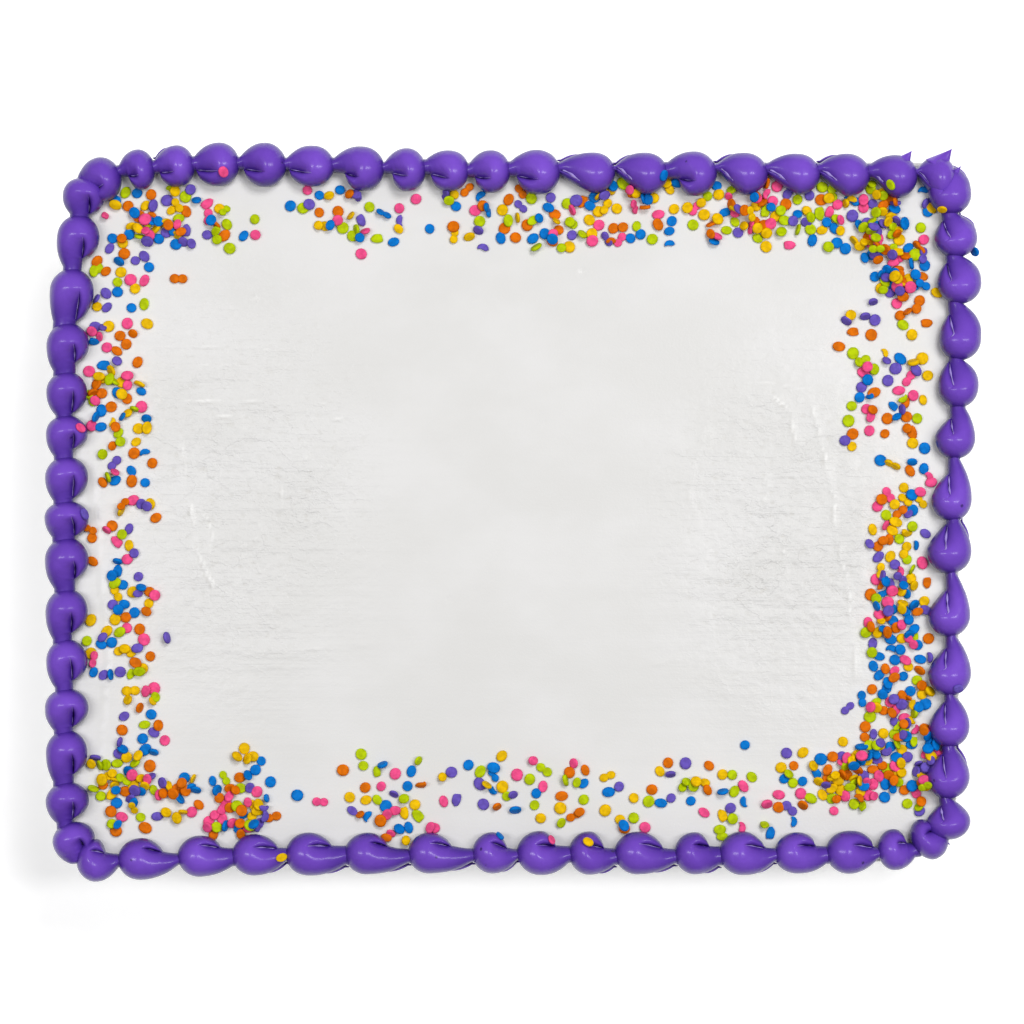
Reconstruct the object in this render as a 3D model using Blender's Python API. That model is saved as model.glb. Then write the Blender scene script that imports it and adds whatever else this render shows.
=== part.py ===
"""Iced sheet cake with a piped bead border and confetti sprinkles, in metres, +Z up.

The cake stands on z = 0 with its middle at x = y = 0, and its long side lies along X.
"""
import math

import bmesh
import bpy
import numpy as np
from mathutils import Matrix, Vector
from mathutils.bvhtree import BVHTree

MM = 0.001

# The iced cake: an uncut block with rounded corners and a soft top edge
CAKE_LENGTH = 392 * MM
CAKE_WIDTH = 307 * MM
CAKE_HEIGHT = 70 * MM
# The upright corners: wide at the back left and front right, where the piping cuts inside them
WIDE_CORNER_RADIUS = 36 * MM
TIGHT_CORNER_RADIUS = 20 * MM
CORNER_SEGMENTS = 7
TOP_EDGE_RADIUS = 3 * MM
TOP_EDGE_SEGMENTS = 1

# Clear space that neighbouring pieces keep
GAP = 0.3 * MM
# Side of the blocks that trim the piped runs at the cake's corners
CORNER_BLOCK = 60 * MM

# One piped bead: a round head, a body that tapers into a tail, and a curled lobe on its inner side
BEAD_HALF_WIDTH = 9.75 * MM
BEAD_RISE = 9.6 * MM
BEAD_HANG = 10.6 * MM
BEAD_AXIS_HEIGHT = 4.4 * MM
TAIL_DROP = 2.2 * MM
BEAD_WIDTH_SPREAD = 0.05
BEAD_RINGS = 6
RING_WARP = 1.08
TAIL_REACH = 1.26
HEAD_SHARE = 0.34
TAIL_SHARE = 0.40
TAIL_CLOSING = 0.86
# Directions round a section, in degrees from the inner side upwards, closest together at the crease
SECTION_ANGLES = (2, 32, 54, 80, 128, 180, 232, 302)
MAIN_SHARE = 0.86
MAIN_OFFSET = -0.13
TAIL_OFFSET = -0.16
LOBE_SHARE = 0.50
LOBE_OFFSET = 0.50
LOBE_MIDDLE = 0.42
LOBE_HALF_SPAN = 0.34
LOBE_DROP = -0.10
LOBE_PULL = 0.215

# The line that each side's beads follow, in mm, in the direction of piping: back from right to left,
# left from back to front, front from left to right, right from front to back
BACK_LINE = ((194, 146), (178, 146), (135, 147.5), (47, 148), (-49, 149.5), (-114, 152), (-158, 150.5),
             (-179, 146), (-188, 142))
LEFT_LINE = ((-186, 146), (-188.5, 128), (-191, 109), (-193.5, 84), (-194.5, 58), (-194.5, -38),
             (-194.5, -121), (-193, -139), (-189, -152))
FRONT_LINE = ((-190, -152), (-180, -153), (-158, -151), (-123, -150), (-49, -149), (39, -149),
              (126, -149), (170, -147.5), (180.5, -144), (188, -139))
RIGHT_LINE = ((191, -143), (190, -126), (191, -99), (191, -56), (191, -12), (193.5, 31), (196, 75),
              (195.5, 101), (193.5, 125), (190.5, 143), (189, 152))
# The length of each bead along its side, in mm
BACK_BEADS = (17, 20.5, 22, 23, 22, 21.5, 23, 24, 22, 18, 19, 18, 22, 21, 20.5, 19.5, 17.5, 15.5, 18)
LEFT_BEADS = (16.5, 23.5, 24, 21.5, 19, 18, 19.5, 16, 22.5, 22, 21.5, 18.5, 22.5, 18, 17)
FRONT_BEADS = (18, 26, 23.5, 23.5, 25.5, 27.5, 28, 19.5, 22.5, 20, 26, 19.5, 24, 22.5, 22.5, 16, 14.5)
RIGHT_BEADS = (17.5, 22.5, 22.5, 25.5, 27.5, 23, 27, 22.5, 20.5, 24.5, 20.5, 18.5, 22.5)
BORDER_SEED = 21
# Points between two given ones on a side's curve, and the stretch that gives its direction
CURVE_STEPS = 24
HEADING_STEP = 4 * MM
# The exact solver leaves open edges where neighbouring beads run into each other
PIPING_SOLVER = "MANIFOLD"

# Drawn-out tips where the piping was lifted off: base and tip in mm, and the base radius
LIFTED_TIPS = (((173, 151.5, 77), (174.5, 157.5, 79), 2.6),
               ((186, 151, 77), (191.5, 158, 79), 3.2))
TIP_END_RADIUS = 0.3 * MM
TIP_SIDES = 6

# Confetti sprinkles: flat round sugar discs
QUIN_RADIUS = 2.35 * MM
QUIN_SIDES = 8
QUIN_TOP = 1.3 * MM
QUIN_SINK = 0.6 * MM
QUIN_TAPER = 0.93
QUIN_SIZE_SPREAD = 0.08
QUIN_TILTS = (math.radians(1), math.radians(6))
QUIN_SEED = 7
# Clear distance between the middles of the discs that are modelled as solids
QUIN_SPACING = 14.5 * MM
# Drifts of sprinkles, in mm: middle x and y, half length, half width and how many fell there
DRIFTS = ((-158, 130, 18, 13, 36), (-136, 127, 11, 11, 12), (-120, 123, 12, 6, 5), (-77, 132, 13, 11, 20),
          (-57, 126, 10, 11, 9), (-20, 129, 9, 12, 14), (0, 130, 11, 13, 15), (28, 128, 17, 13, 32),
          (55, 134, 14, 16, 26), (76, 132, 7, 6, 6), (103, 131, 19, 12, 40), (138, 129, 14, 14, 32),
          (160, 128, 10, 13, 33), (171, 106, 11, 11, 30), (182, 124, 5, 15, 4), (176, 85, 8, 7, 7),
          (162, 76, 17, 10, 11), (165, 54, 14, 13, 28), (168, 40, 12, 6, 8), (147, 40, 3, 13, 4),
          (169, 20, 14, 11, 9), (168, -3, 12, 11, 24), (168, -22, 11, 9, 14), (169, -42, 12, 15, 38),
          (168, -64, 12, 8, 15), (169, -86, 15, 14, 38), (169, -106, 18, 10, 40), (166, -122, 18, 7, 20),
          (146, -121, 11, 9, 13), (126, -120, 11, 10, 14), (119, -109, 9, 5, 2), (116, -134, 7, 7, 5),
          (93, -122, 9, 14, 14), (74, -119, 11, 11, 10), (51, -128, 12, 11, 12), (22, -125, 11, 13, 15),
          (3, -122, 12, 12, 13), (-19, -121, 13, 11, 10), (-50, -122, 10, 12, 16), (-63, -122, 7, 15, 9),
          (-48, -138, 13, 3, 5), (-113, -112, 8, 10, 11), (-117, -129, 12, 9, 18), (-125, -139, 10, 5, 8),
          (-135, -124, 11, 9, 13), (-150, -124, 9, 9, 8), (-172, -117, 12, 11, 24), (-168, -134, 9, 7, 8),
          (-165, -101, 9, 7, 8), (-164, -86, 8, 10, 10), (-171, -60, 14, 13, 26), (-167, -38, 10, 11, 17),
          (-177, -15, 12, 9, 12), (-165, -2, 8, 7, 7), (-169, 27, 12, 14, 20), (-173, 49, 13, 12, 28),
          (-168, 64, 10, 5, 4), (-172, 80, 12, 11, 16), (-170, 102, 12, 11, 13), (-168, 116, 11, 5, 5))
# Sprinkles that lie alone, in mm
LONE_QUINS = ((-97, 134), (-146, 102), (-161, 91), (-42, 137), (-66, 113), (-36, 124), (-151, -55),
              (-159, -40), (-152, -100), (-94, -124), (-84, -127), (-74, -113), (-66, -106), (102, -102),
              (105, -116), (76, -110), (147, -86), (158, 92))
# Each disc takes the roomiest of this many draws, and some fall a little outside their drift
QUIN_DRAWS = 3
DRIFT_BLUR = 0.12
# Sprinkles that landed on the border: side, and x and y in mm
BORDER_QUINS = (("back", -125.5, 148), ("back", 65.7, 146.5), ("left", -188, 36.5), ("front", -100.5, -150.5),
                ("front", 33, -143.5), ("right", 194, -76.5), ("right", 187.5, 132))

ICING_COLOUR = (0.80, 0.80, 0.78, 1.0)
PIPING_COLOUR = (0.14, 0.07, 0.41, 1.0)


def clear_scene():
    """Remove every object that the file starts with."""
    for item in list(bpy.data.objects):
        bpy.data.objects.remove(item, do_unlink=True)


def new_collection(name):
    """Make a collection under the scene."""
    collection = bpy.data.collections.new(name)
    bpy.context.scene.collection.children.link(collection)
    return collection


def make_material(name, colour, roughness):
    """Make a plain Principled material."""
    material = bpy.data.materials.new(name)
    material.use_nodes = True
    shader = material.node_tree.nodes["Principled BSDF"]
    shader.inputs["Base Color"].default_value = colour
    shader.inputs["Roughness"].default_value = roughness
    shader.inputs["Metallic"].default_value = 0.0
    return material


def object_from(shape, name, collection):
    """Turn a bmesh into an object of the collection."""
    if shape.calc_volume(signed=True) < 0.0:
        bmesh.ops.reverse_faces(shape, faces=shape.faces)
    mesh = bpy.data.meshes.new(name)
    shape.to_mesh(mesh)
    shape.free()
    item = bpy.data.objects.new(name, mesh)
    collection.objects.link(item)
    return item


def bake_modifiers(item):
    """Swap the object's mesh for its evaluated one and drop its modifiers."""
    graph = bpy.context.evaluated_depsgraph_get()
    mesh = bpy.data.meshes.new_from_object(item.evaluated_get(graph))
    old = item.data
    item.modifiers.clear()
    item.data = mesh
    bpy.data.meshes.remove(old)


def keep_largest_shell(item):
    """Keep the connected shell with the largest box, and drop scraps and sealed hollows."""
    shape = bmesh.new()
    shape.from_mesh(item.data)
    unseen = set(shape.verts)
    shells = []
    while unseen:
        stack = [unseen.pop()]
        shell = set(stack)
        while stack:
            for edge in stack.pop().link_edges:
                for corner in edge.verts:
                    if corner in unseen:
                        unseen.remove(corner)
                        shell.add(corner)
                        stack.append(corner)
        shells.append(shell)
    largest = max(shells, key=box_diagonal)
    for shell in shells:
        if shell is not largest:
            bmesh.ops.delete(shape, geom=list(shell), context="VERTS")
    shape.to_mesh(item.data)
    shape.free()


def box_diagonal(corners):
    """Diagonal of the box round some vertices."""
    places = np.array([tuple(corner.co) for corner in corners])
    return float(np.linalg.norm(places.max(axis=0) - places.min(axis=0)))


def join_all(target, pieces, solver="EXACT"):
    """Fuse the pieces into the target with one union, and remove them."""
    group = new_collection(target.name + "_pieces")
    for piece in pieces:
        group.objects.link(piece)
    union = target.modifiers.new("fuse", "BOOLEAN")
    union.operation = "UNION"
    union.solver = solver
    union.operand_type = "COLLECTION"
    union.collection = group
    bake_modifiers(target)
    for piece in pieces:
        bpy.data.objects.remove(piece, do_unlink=True)
    bpy.data.collections.remove(group)
    keep_largest_shell(target)


def cut_with(target, cutter, solver="EXACT"):
    """Cut one solid away from the target."""
    cut = target.modifiers.new("cut", "BOOLEAN")
    cut.operation = "DIFFERENCE"
    cut.solver = solver
    cut.object = cutter
    bake_modifiers(target)
    keep_largest_shell(target)


def rounded_block(growth):
    """The cake's block on z = 0, grown outwards and upwards, its upright corners and top edge rounded."""
    length = CAKE_LENGTH + 2 * growth
    width = CAKE_WIDTH + 2 * growth
    height = CAKE_HEIGHT + growth
    shape = bmesh.new()
    size = Matrix.Diagonal((length, width, height, 1.0))
    place = Matrix.Translation((0.0, 0.0, height / 2))
    bmesh.ops.create_cube(shape, size=1.0, matrix=place @ size)
    for x_side, y_side in ((1, 1), (-1, 1), (-1, -1), (1, -1)):
        corner = Vector((x_side * length / 2, y_side * width / 2))
        upright = [line for line in shape.edges
                   if all((end.co.xy - corner).length < GAP for end in line.verts)]
        radius = TIGHT_CORNER_RADIUS if x_side == y_side else WIDE_CORNER_RADIUS
        bmesh.ops.bevel(shape, geom=upright, offset=radius + growth, segments=CORNER_SEGMENTS, profile=0.5,
                        affect="EDGES", clamp_overlap=True)
    rim = [line for line in shape.edges if min(end.co.z for end in line.verts) > height / 2]
    bmesh.ops.bevel(shape, geom=rim, offset=TOP_EDGE_RADIUS, segments=TOP_EDGE_SEGMENTS, profile=0.5,
                    affect="EDGES", clamp_overlap=True)
    return shape


def smooth_line(points):
    """Points of a smooth curve through the given plan points in mm, in metres."""
    marks = np.array(points, dtype=float) * MM
    marks = np.vstack([2 * marks[0] - marks[1], marks, 2 * marks[-1] - marks[-2]])
    curve = []
    for k in range(1, len(marks) - 2):
        before, start, end, after = marks[k - 1:k + 3]
        for step in range(CURVE_STEPS):
            t = step / CURVE_STEPS
            curve.append(0.5 * (2 * start + (end - before) * t
                                + (2 * before - 5 * start + 4 * end - after) * t ** 2
                                + (3 * start - 3 * end + after - before) * t ** 3))
    curve.append(marks[-2])
    return np.array(curve)


class PipedLine:
    """A side's curve, read by the distance along it."""

    def __init__(self, points):
        self.curve = smooth_line(points)
        gaps = np.linalg.norm(np.diff(self.curve, axis=0), axis=1)
        self.run = np.concatenate([[0.0], np.cumsum(gaps)])
        self.length = self.run[-1]

    def place(self, distance):
        """Plan point at a distance from the start, also a little past the ends."""
        clipped = min(max(distance, 0.0), self.length)
        point = np.array([np.interp(clipped, self.run, self.curve[:, axis]) for axis in (0, 1)])
        return point + self.heading(distance) * (distance - clipped)

    def heading(self, distance):
        """Unit direction of piping at a distance."""
        low = min(max(distance - HEADING_STEP / 2, 0.0), self.length - HEADING_STEP)
        ends = [np.array([np.interp(s, self.run, self.curve[:, axis]) for axis in (0, 1)])
                for s in (low, low + HEADING_STEP)]
        step = ends[1] - ends[0]
        return step / np.linalg.norm(step)


def bead_profile(t):
    """Half width of the bead's main body along its length, as a share: round head, long taper."""
    if t < HEAD_SHARE:
        return math.sqrt(max(1.0 - (1.0 - t / HEAD_SHARE) ** 2, 0.0))
    taper = (t - HEAD_SHARE) / (1.0 - HEAD_SHARE)
    neck = 1.0 - (1.0 - TAIL_SHARE) * (3 * taper ** 2 - 2 * taper ** 3)
    closing = math.sqrt(max(1.0 - max((t - TAIL_CLOSING) / (1.0 - TAIL_CLOSING), 0.0) ** 2, 0.0))
    return neck * closing


def lobe_profile(t):
    """Radius of the curled lobe along the bead, as a share of its largest."""
    away = (t - LOBE_MIDDLE) / LOBE_HALF_SPAN
    return math.sqrt(max(1.0 - away * away, 0.0))


def ray_exit(start, direction, centre, radius):
    """Distance from the start along the direction to where it leaves a circle, or zero."""
    offset_x = start[0] - centre[0]
    offset_z = start[1] - centre[1]
    along = offset_x * direction[0] + offset_z * direction[1]
    inside = along ** 2 - offset_x ** 2 - offset_z ** 2 + radius ** 2
    return max(math.sqrt(inside) - along, 0.0) if inside > 0 else 0.0


def bead_section(t, degrees):
    """Point of the bead's section in half widths: inward distance and height from the axis."""
    main_radius = MAIN_SHARE * bead_profile(t)
    main = (MAIN_OFFSET + TAIL_OFFSET * t, 0.0)
    lobe_radius = LOBE_SHARE * lobe_profile(t)
    lobe = (LOBE_OFFSET, LOBE_DROP)
    start = (main[0] + LOBE_PULL * lobe_profile(t), 0.0)
    direction = (math.cos(math.radians(degrees)), math.sin(math.radians(degrees)))
    reach = max(ray_exit(start, direction, main, main_radius), ray_exit(start, direction, lobe, lobe_radius))
    return start[0] + reach * direction[0], reach * direction[1]


def make_bead(line, start, length, width, collection):
    """One piped bead whose head is at a distance along its side."""
    sides = len(SECTION_ANGLES)
    shape = bmesh.new()
    bmesh.ops.create_uvsphere(shape, u_segments=sides, v_segments=BEAD_RINGS, radius=1.0)
    head = line.place(start)
    along = line.place(start + length) - head
    along = along / np.linalg.norm(along)
    across = np.array((-along[1], along[0])) * BEAD_HALF_WIDTH * width
    for corner in shape.verts:
        t = (0.5 + 0.5 * corner.co.z) ** RING_WARP
        turn = math.atan2(corner.co.y, corner.co.x) / math.tau
        degrees = SECTION_ANGLES[round(turn * sides) % sides]
        inward, height = bead_section(t, degrees)
        point = head + along * t * length * TAIL_REACH + across * inward
        rise = height * (BEAD_RISE if height > 0 else BEAD_HANG) * width
        axis_height = CAKE_HEIGHT + BEAD_AXIS_HEIGHT - TAIL_DROP * t * t
        corner.co = (point[0], point[1], axis_height + rise)
    return object_from(shape, "bead", collection)


def make_tip(base, tip, radius, collection):
    """A drawn-out tip of icing: a slender cone from its base to its end."""
    start = Vector(base) * MM
    axis = Vector(tip) * MM - start
    shape = bmesh.new()
    turn = axis.to_track_quat("Z", "Y").to_matrix().to_4x4()
    bmesh.ops.create_cone(shape, cap_ends=True, segments=TIP_SIDES, radius1=radius * MM,
                          radius2=TIP_END_RADIUS, depth=axis.length,
                          matrix=Matrix.Translation(start + axis / 2) @ turn)
    return object_from(shape, "tip", collection)


def make_quin(place, up, size, collection):
    """One sugar disc lying on a place, square to the direction up, and sunk a little into it."""
    shape = bmesh.new()
    depth = QUIN_TOP + QUIN_SINK
    middle = place + up * (depth / 2 - QUIN_SINK)
    turn = up.to_track_quat("Z", "Y").to_matrix().to_4x4()
    bmesh.ops.create_cone(shape, cap_ends=True, segments=QUIN_SIDES, radius1=QUIN_RADIUS * size,
                          radius2=QUIN_RADIUS * size * QUIN_TAPER, depth=depth,
                          matrix=Matrix.Translation(middle) @ turn)
    return object_from(shape, "quin", collection)


def leaning(tilt, bearing):
    """Unit vector that leans away from upright by a tilt, towards a bearing."""
    return Vector((math.sin(tilt) * math.cos(bearing), math.sin(tilt) * math.sin(bearing), math.cos(tilt)))


def quins_on(run, side, collection):
    """The discs that landed on one side's beads, each flat on the icing below it."""
    shape = bmesh.new()
    shape.from_mesh(run.data)
    icing = BVHTree.FromBMesh(shape)
    shape.free()
    discs = []
    for name, x, y in BORDER_QUINS:
        if name == side:
            above = Vector((x * MM, y * MM, CAKE_HEIGHT + 2 * BEAD_HALF_WIDTH))
            place, up, _, _ = icing.ray_cast(above, Vector((0.0, 0.0, -1.0)))
            discs.append(make_quin(place, up, 1.0, collection))
    return discs


def scatter_quins():
    """Places of all the sprinkles on the cake's top, as plan points in metres."""
    rng = np.random.default_rng(QUIN_SEED)
    places = [np.array(spot) * MM for spot in LONE_QUINS]
    for x, y, half_length, half_width, count in DRIFTS:
        for _ in range(count):
            draws = rng.uniform(-1.0, 1.0, (QUIN_DRAWS, 2)) + rng.normal(0.0, DRIFT_BLUR, (QUIN_DRAWS, 2))
            spots = (np.array((x, y)) + draws * np.array((half_length, half_width))) * MM
            known = np.array(places)
            room = [np.min(np.linalg.norm(known - spot, axis=1)) for spot in spots]
            places.append(spots[int(np.argmax(room))])
    return places


def modelled_quins(lines):
    """The sprinkles that become solids: evenly spread, and clear of the border."""
    border = np.vstack([line.curve for line in lines])
    clearance = BEAD_HALF_WIDTH * (1 + BEAD_WIDTH_SPREAD) + QUIN_RADIUS * (1 + QUIN_SIZE_SPREAD) + 2 * GAP
    chosen = []
    for spot in scatter_quins():
        if np.min(np.linalg.norm(border - spot, axis=1)) < clearance:
            continue
        if chosen and np.min(np.linalg.norm(np.array(chosen) - spot, axis=1)) < QUIN_SPACING:
            continue
        chosen.append(spot)
    return chosen


def make_cake(collection, material, lines):
    """The iced block with its sprinkles fused on."""
    cake = object_from(rounded_block(0.0), "iced_cake", collection)
    rng = np.random.default_rng(QUIN_SEED)
    discs = []
    for x, y in modelled_quins(lines):
        size = 1.0 + rng.uniform(-QUIN_SIZE_SPREAD, QUIN_SIZE_SPREAD)
        up = leaning(rng.uniform(*QUIN_TILTS), rng.uniform(0.0, math.tau))
        discs.append(make_quin(Vector((x, y, CAKE_HEIGHT)), up, size, collection))
    join_all(cake, discs)
    cake.data.materials.clear()
    cake.data.materials.append(material)
    return cake


def corner_block(finished, begun, ahead, collection):
    """A block on one side of the plane where one side's piping ends and the next begins."""
    normal = finished.heading(finished.length) + begun.heading(0.0)
    normal = normal / np.linalg.norm(normal) * (1.0 if ahead else -1.0)
    joint = (finished.place(finished.length) + begun.place(0.0)) / 2
    size = CORNER_BLOCK
    middle = joint + normal * (size - GAP) / 2
    turn = Matrix.Rotation(math.atan2(normal[1], normal[0]), 4, "Z")
    place = Matrix.Translation((middle[0], middle[1], CAKE_HEIGHT))
    shape = bmesh.new()
    bmesh.ops.create_cube(shape, size=size, matrix=place @ turn)
    return object_from(shape, "corner_block", collection)


def make_border(side, line, lengths, rng, collection, seat, blocks, material):
    """One side's run of beads, fused, seated on the cake and cut off at its corners."""
    scale = line.length / sum(lengths)
    beads = []
    start = 0.0
    for length in lengths:
        width = 1.0 + rng.uniform(-BEAD_WIDTH_SPREAD, BEAD_WIDTH_SPREAD)
        beads.append(make_bead(line, start, length * scale, width, collection))
        start += length * scale
    run = beads[0]
    run.name = "border_" + side
    extras = []
    if side == "back":
        extras = [make_tip(base, tip, radius, collection) for base, tip, radius in LIFTED_TIPS]
    join_all(run, beads[1:] + extras, PIPING_SOLVER)
    for cutter in (seat, *blocks):
        cut_with(run, cutter, PIPING_SOLVER)
    discs = quins_on(run, side, collection)
    if discs:
        join_all(run, discs, PIPING_SOLVER)
    run.data.materials.clear()
    run.data.materials.append(material)
    return run


def main():
    """Build the cake and its four piped sides."""
    clear_scene()
    parts = new_collection("sheet_cake")
    cutters = new_collection("cutters")
    icing = make_material("white_icing", ICING_COLOUR, 0.45)
    piping = make_material("purple_icing", PIPING_COLOUR, 0.30)
    sides = {"back": (BACK_LINE, BACK_BEADS), "left": (LEFT_LINE, LEFT_BEADS),
             "front": (FRONT_LINE, FRONT_BEADS), "right": (RIGHT_LINE, RIGHT_BEADS)}
    lines = {side: PipedLine(points) for side, (points, _) in sides.items()}
    seat = object_from(rounded_block(GAP), "seat_cutter", cutters)
    rng = np.random.default_rng(BORDER_SEED)
    order = list(sides)
    for place, side in enumerate(order):
        before = lines[order[place - 1]]
        after = lines[order[(place + 1) % len(order)]]
        blocks = (corner_block(before, lines[side], False, cutters),
                  corner_block(lines[side], after, True, cutters))
        make_border(side, lines[side], sides[side][1], rng, parts, seat, blocks, piping)
    for cutter in cutters.objects:
        cutter.hide_render = True
        cutter.display_type = "WIRE"
    make_cake(parts, icing, list(lines.values()))


main()
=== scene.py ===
"""Looks of an iced sheet cake with a piped bead border and confetti sprinkles, in metres, +Z up."""

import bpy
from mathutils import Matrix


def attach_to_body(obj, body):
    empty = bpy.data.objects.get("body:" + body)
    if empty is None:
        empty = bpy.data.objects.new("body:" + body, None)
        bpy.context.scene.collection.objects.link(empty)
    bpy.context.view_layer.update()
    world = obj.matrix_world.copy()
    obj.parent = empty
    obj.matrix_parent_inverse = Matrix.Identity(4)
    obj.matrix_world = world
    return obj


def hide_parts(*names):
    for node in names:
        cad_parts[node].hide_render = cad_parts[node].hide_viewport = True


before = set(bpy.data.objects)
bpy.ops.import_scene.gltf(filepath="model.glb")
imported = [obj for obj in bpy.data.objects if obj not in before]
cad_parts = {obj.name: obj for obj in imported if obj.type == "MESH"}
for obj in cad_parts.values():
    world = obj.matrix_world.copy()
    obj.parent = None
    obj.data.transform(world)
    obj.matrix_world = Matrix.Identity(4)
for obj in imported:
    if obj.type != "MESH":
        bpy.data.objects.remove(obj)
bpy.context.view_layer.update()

import logging
import math
from collections.abc import Sequence
from dataclasses import InitVar, dataclass, field
from enum import Enum

import bpy
import numpy as np
from mathutils import Matrix, Vector
from mathutils.bvhtree import BVHTree

logging.basicConfig(level=logging.INFO, format="%(levelname)s %(message)s")
LOG = logging.getLogger("sheet_cake")

MM = 0.001
BODY = "root"

# The iced block, with the sizes that the solids have
CAKE_LENGTH = 392 * MM
CAKE_WIDTH = 307 * MM
CAKE_HEIGHT = 70 * MM
WIDE_CORNER_RADIUS = 36 * MM
TIGHT_CORNER_RADIUS = 20 * MM

# The beads, with the sizes that the solids have
BEAD_HALF_WIDTH = 9.75 * MM
BEAD_RISE = 9.6 * MM
BEAD_HANG = 10.6 * MM
BEAD_AXIS_HEIGHT = 4.4 * MM
TAIL_DROP = 2.2 * MM
BEAD_WIDTH_SPREAD = 0.05
TAIL_REACH = 1.26
BEAD_WIDEST = 0.955
LOBE_RISE = 0.80
LAST_REACH = 1.08
BORDER_SEED = 21
SHAPE_SEED = 5
CURVE_STEPS = 24
HEADING_STEP = 4 * MM

# The confetti sprinkles
QUIN_RADIUS = 2.35 * MM
QUIN_THICKNESS = 1.4 * MM
QUIN_SEED = 7
QUIN_DRAWS = 3
DRIFT_BLUR = 0.12


def smoothstep(value: np.ndarray | float) -> np.ndarray | float:
    """Ease from 0 to 1 while the value goes from 0 to 1."""
    held = np.clip(value, 0.0, 1.0)
    return held * held * (3.0 - 2.0 * held)


@dataclass
class LatticeNoise:
    """Smooth noise between -1 and 1 on a lattice of seeded draws.

    Args:
        seed: Seed of the lattice.
        size: Number of lattice points each way, past which the noise repeats.
    """

    seed: int
    size: int = 128
    lattice: np.ndarray = field(init=False)

    def __post_init__(self) -> None:
        """Draw the lattice."""
        self.lattice = np.random.default_rng(self.seed).uniform(-1.0, 1.0, (self.size, self.size))

    def at(self, u: np.ndarray | float, v: np.ndarray | float) -> np.ndarray:
        """Read the noise.

        Args:
            u: First coordinate, in lattice steps.
            v: Second coordinate, in lattice steps.

        Returns:
            The noise, in the shape of the coordinates.
        """
        u, v = np.broadcast_arrays(np.asarray(u, float), np.asarray(v, float))
        left, low = np.floor(u).astype(int), np.floor(v).astype(int)
        across, up = smoothstep(u - left), smoothstep(v - low)
        table, size = self.lattice, self.size
        near = table[left % size, low % size] * (1 - across) + table[(left + 1) % size, low % size] * across
        far = (table[left % size, (low + 1) % size] * (1 - across)
               + table[(left + 1) % size, (low + 1) % size] * across)
        return near * (1 - up) + far * up


# Shader maths


class Shade:
    """A number that varies over a surface: Python's operators on it add Math nodes."""

    def __init__(self, board: "Board", socket: bpy.types.NodeSocket) -> None:
        """Keep the board that makes nodes and the socket that gives the number."""
        self.board = board
        self.socket = socket

    def math(self, operation: str, *values: "Shade | float") -> "Shade":
        """Add a Math node.

        Args:
            operation: The node's operation.
            values: All its inputs, in order.

        Returns:
            The node's result.
        """
        return self.board.value("ShaderNodeMath", {"operation": operation}, dict(enumerate(values)))

    def __add__(self, other: "Shade | float") -> "Shade":
        """Sum."""
        return self.math("ADD", self, other)

    def __radd__(self, other: float) -> "Shade":
        """Sum, with the number first."""
        return self.math("ADD", other, self)

    def __sub__(self, other: "Shade | float") -> "Shade":
        """Difference."""
        return self.math("SUBTRACT", self, other)

    def __rsub__(self, other: float) -> "Shade":
        """Difference, with the number first."""
        return self.math("SUBTRACT", other, self)

    def __mul__(self, other: "Shade | float") -> "Shade":
        """Product."""
        return self.math("MULTIPLY", self, other)

    def __rmul__(self, other: float) -> "Shade":
        """Product, with the number first."""
        return self.math("MULTIPLY", other, self)

    def clamped(self) -> "Shade":
        """The number held between 0 and 1."""
        return self.math("MINIMUM", self.math("MAXIMUM", self, 0.0), 1.0)


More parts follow.
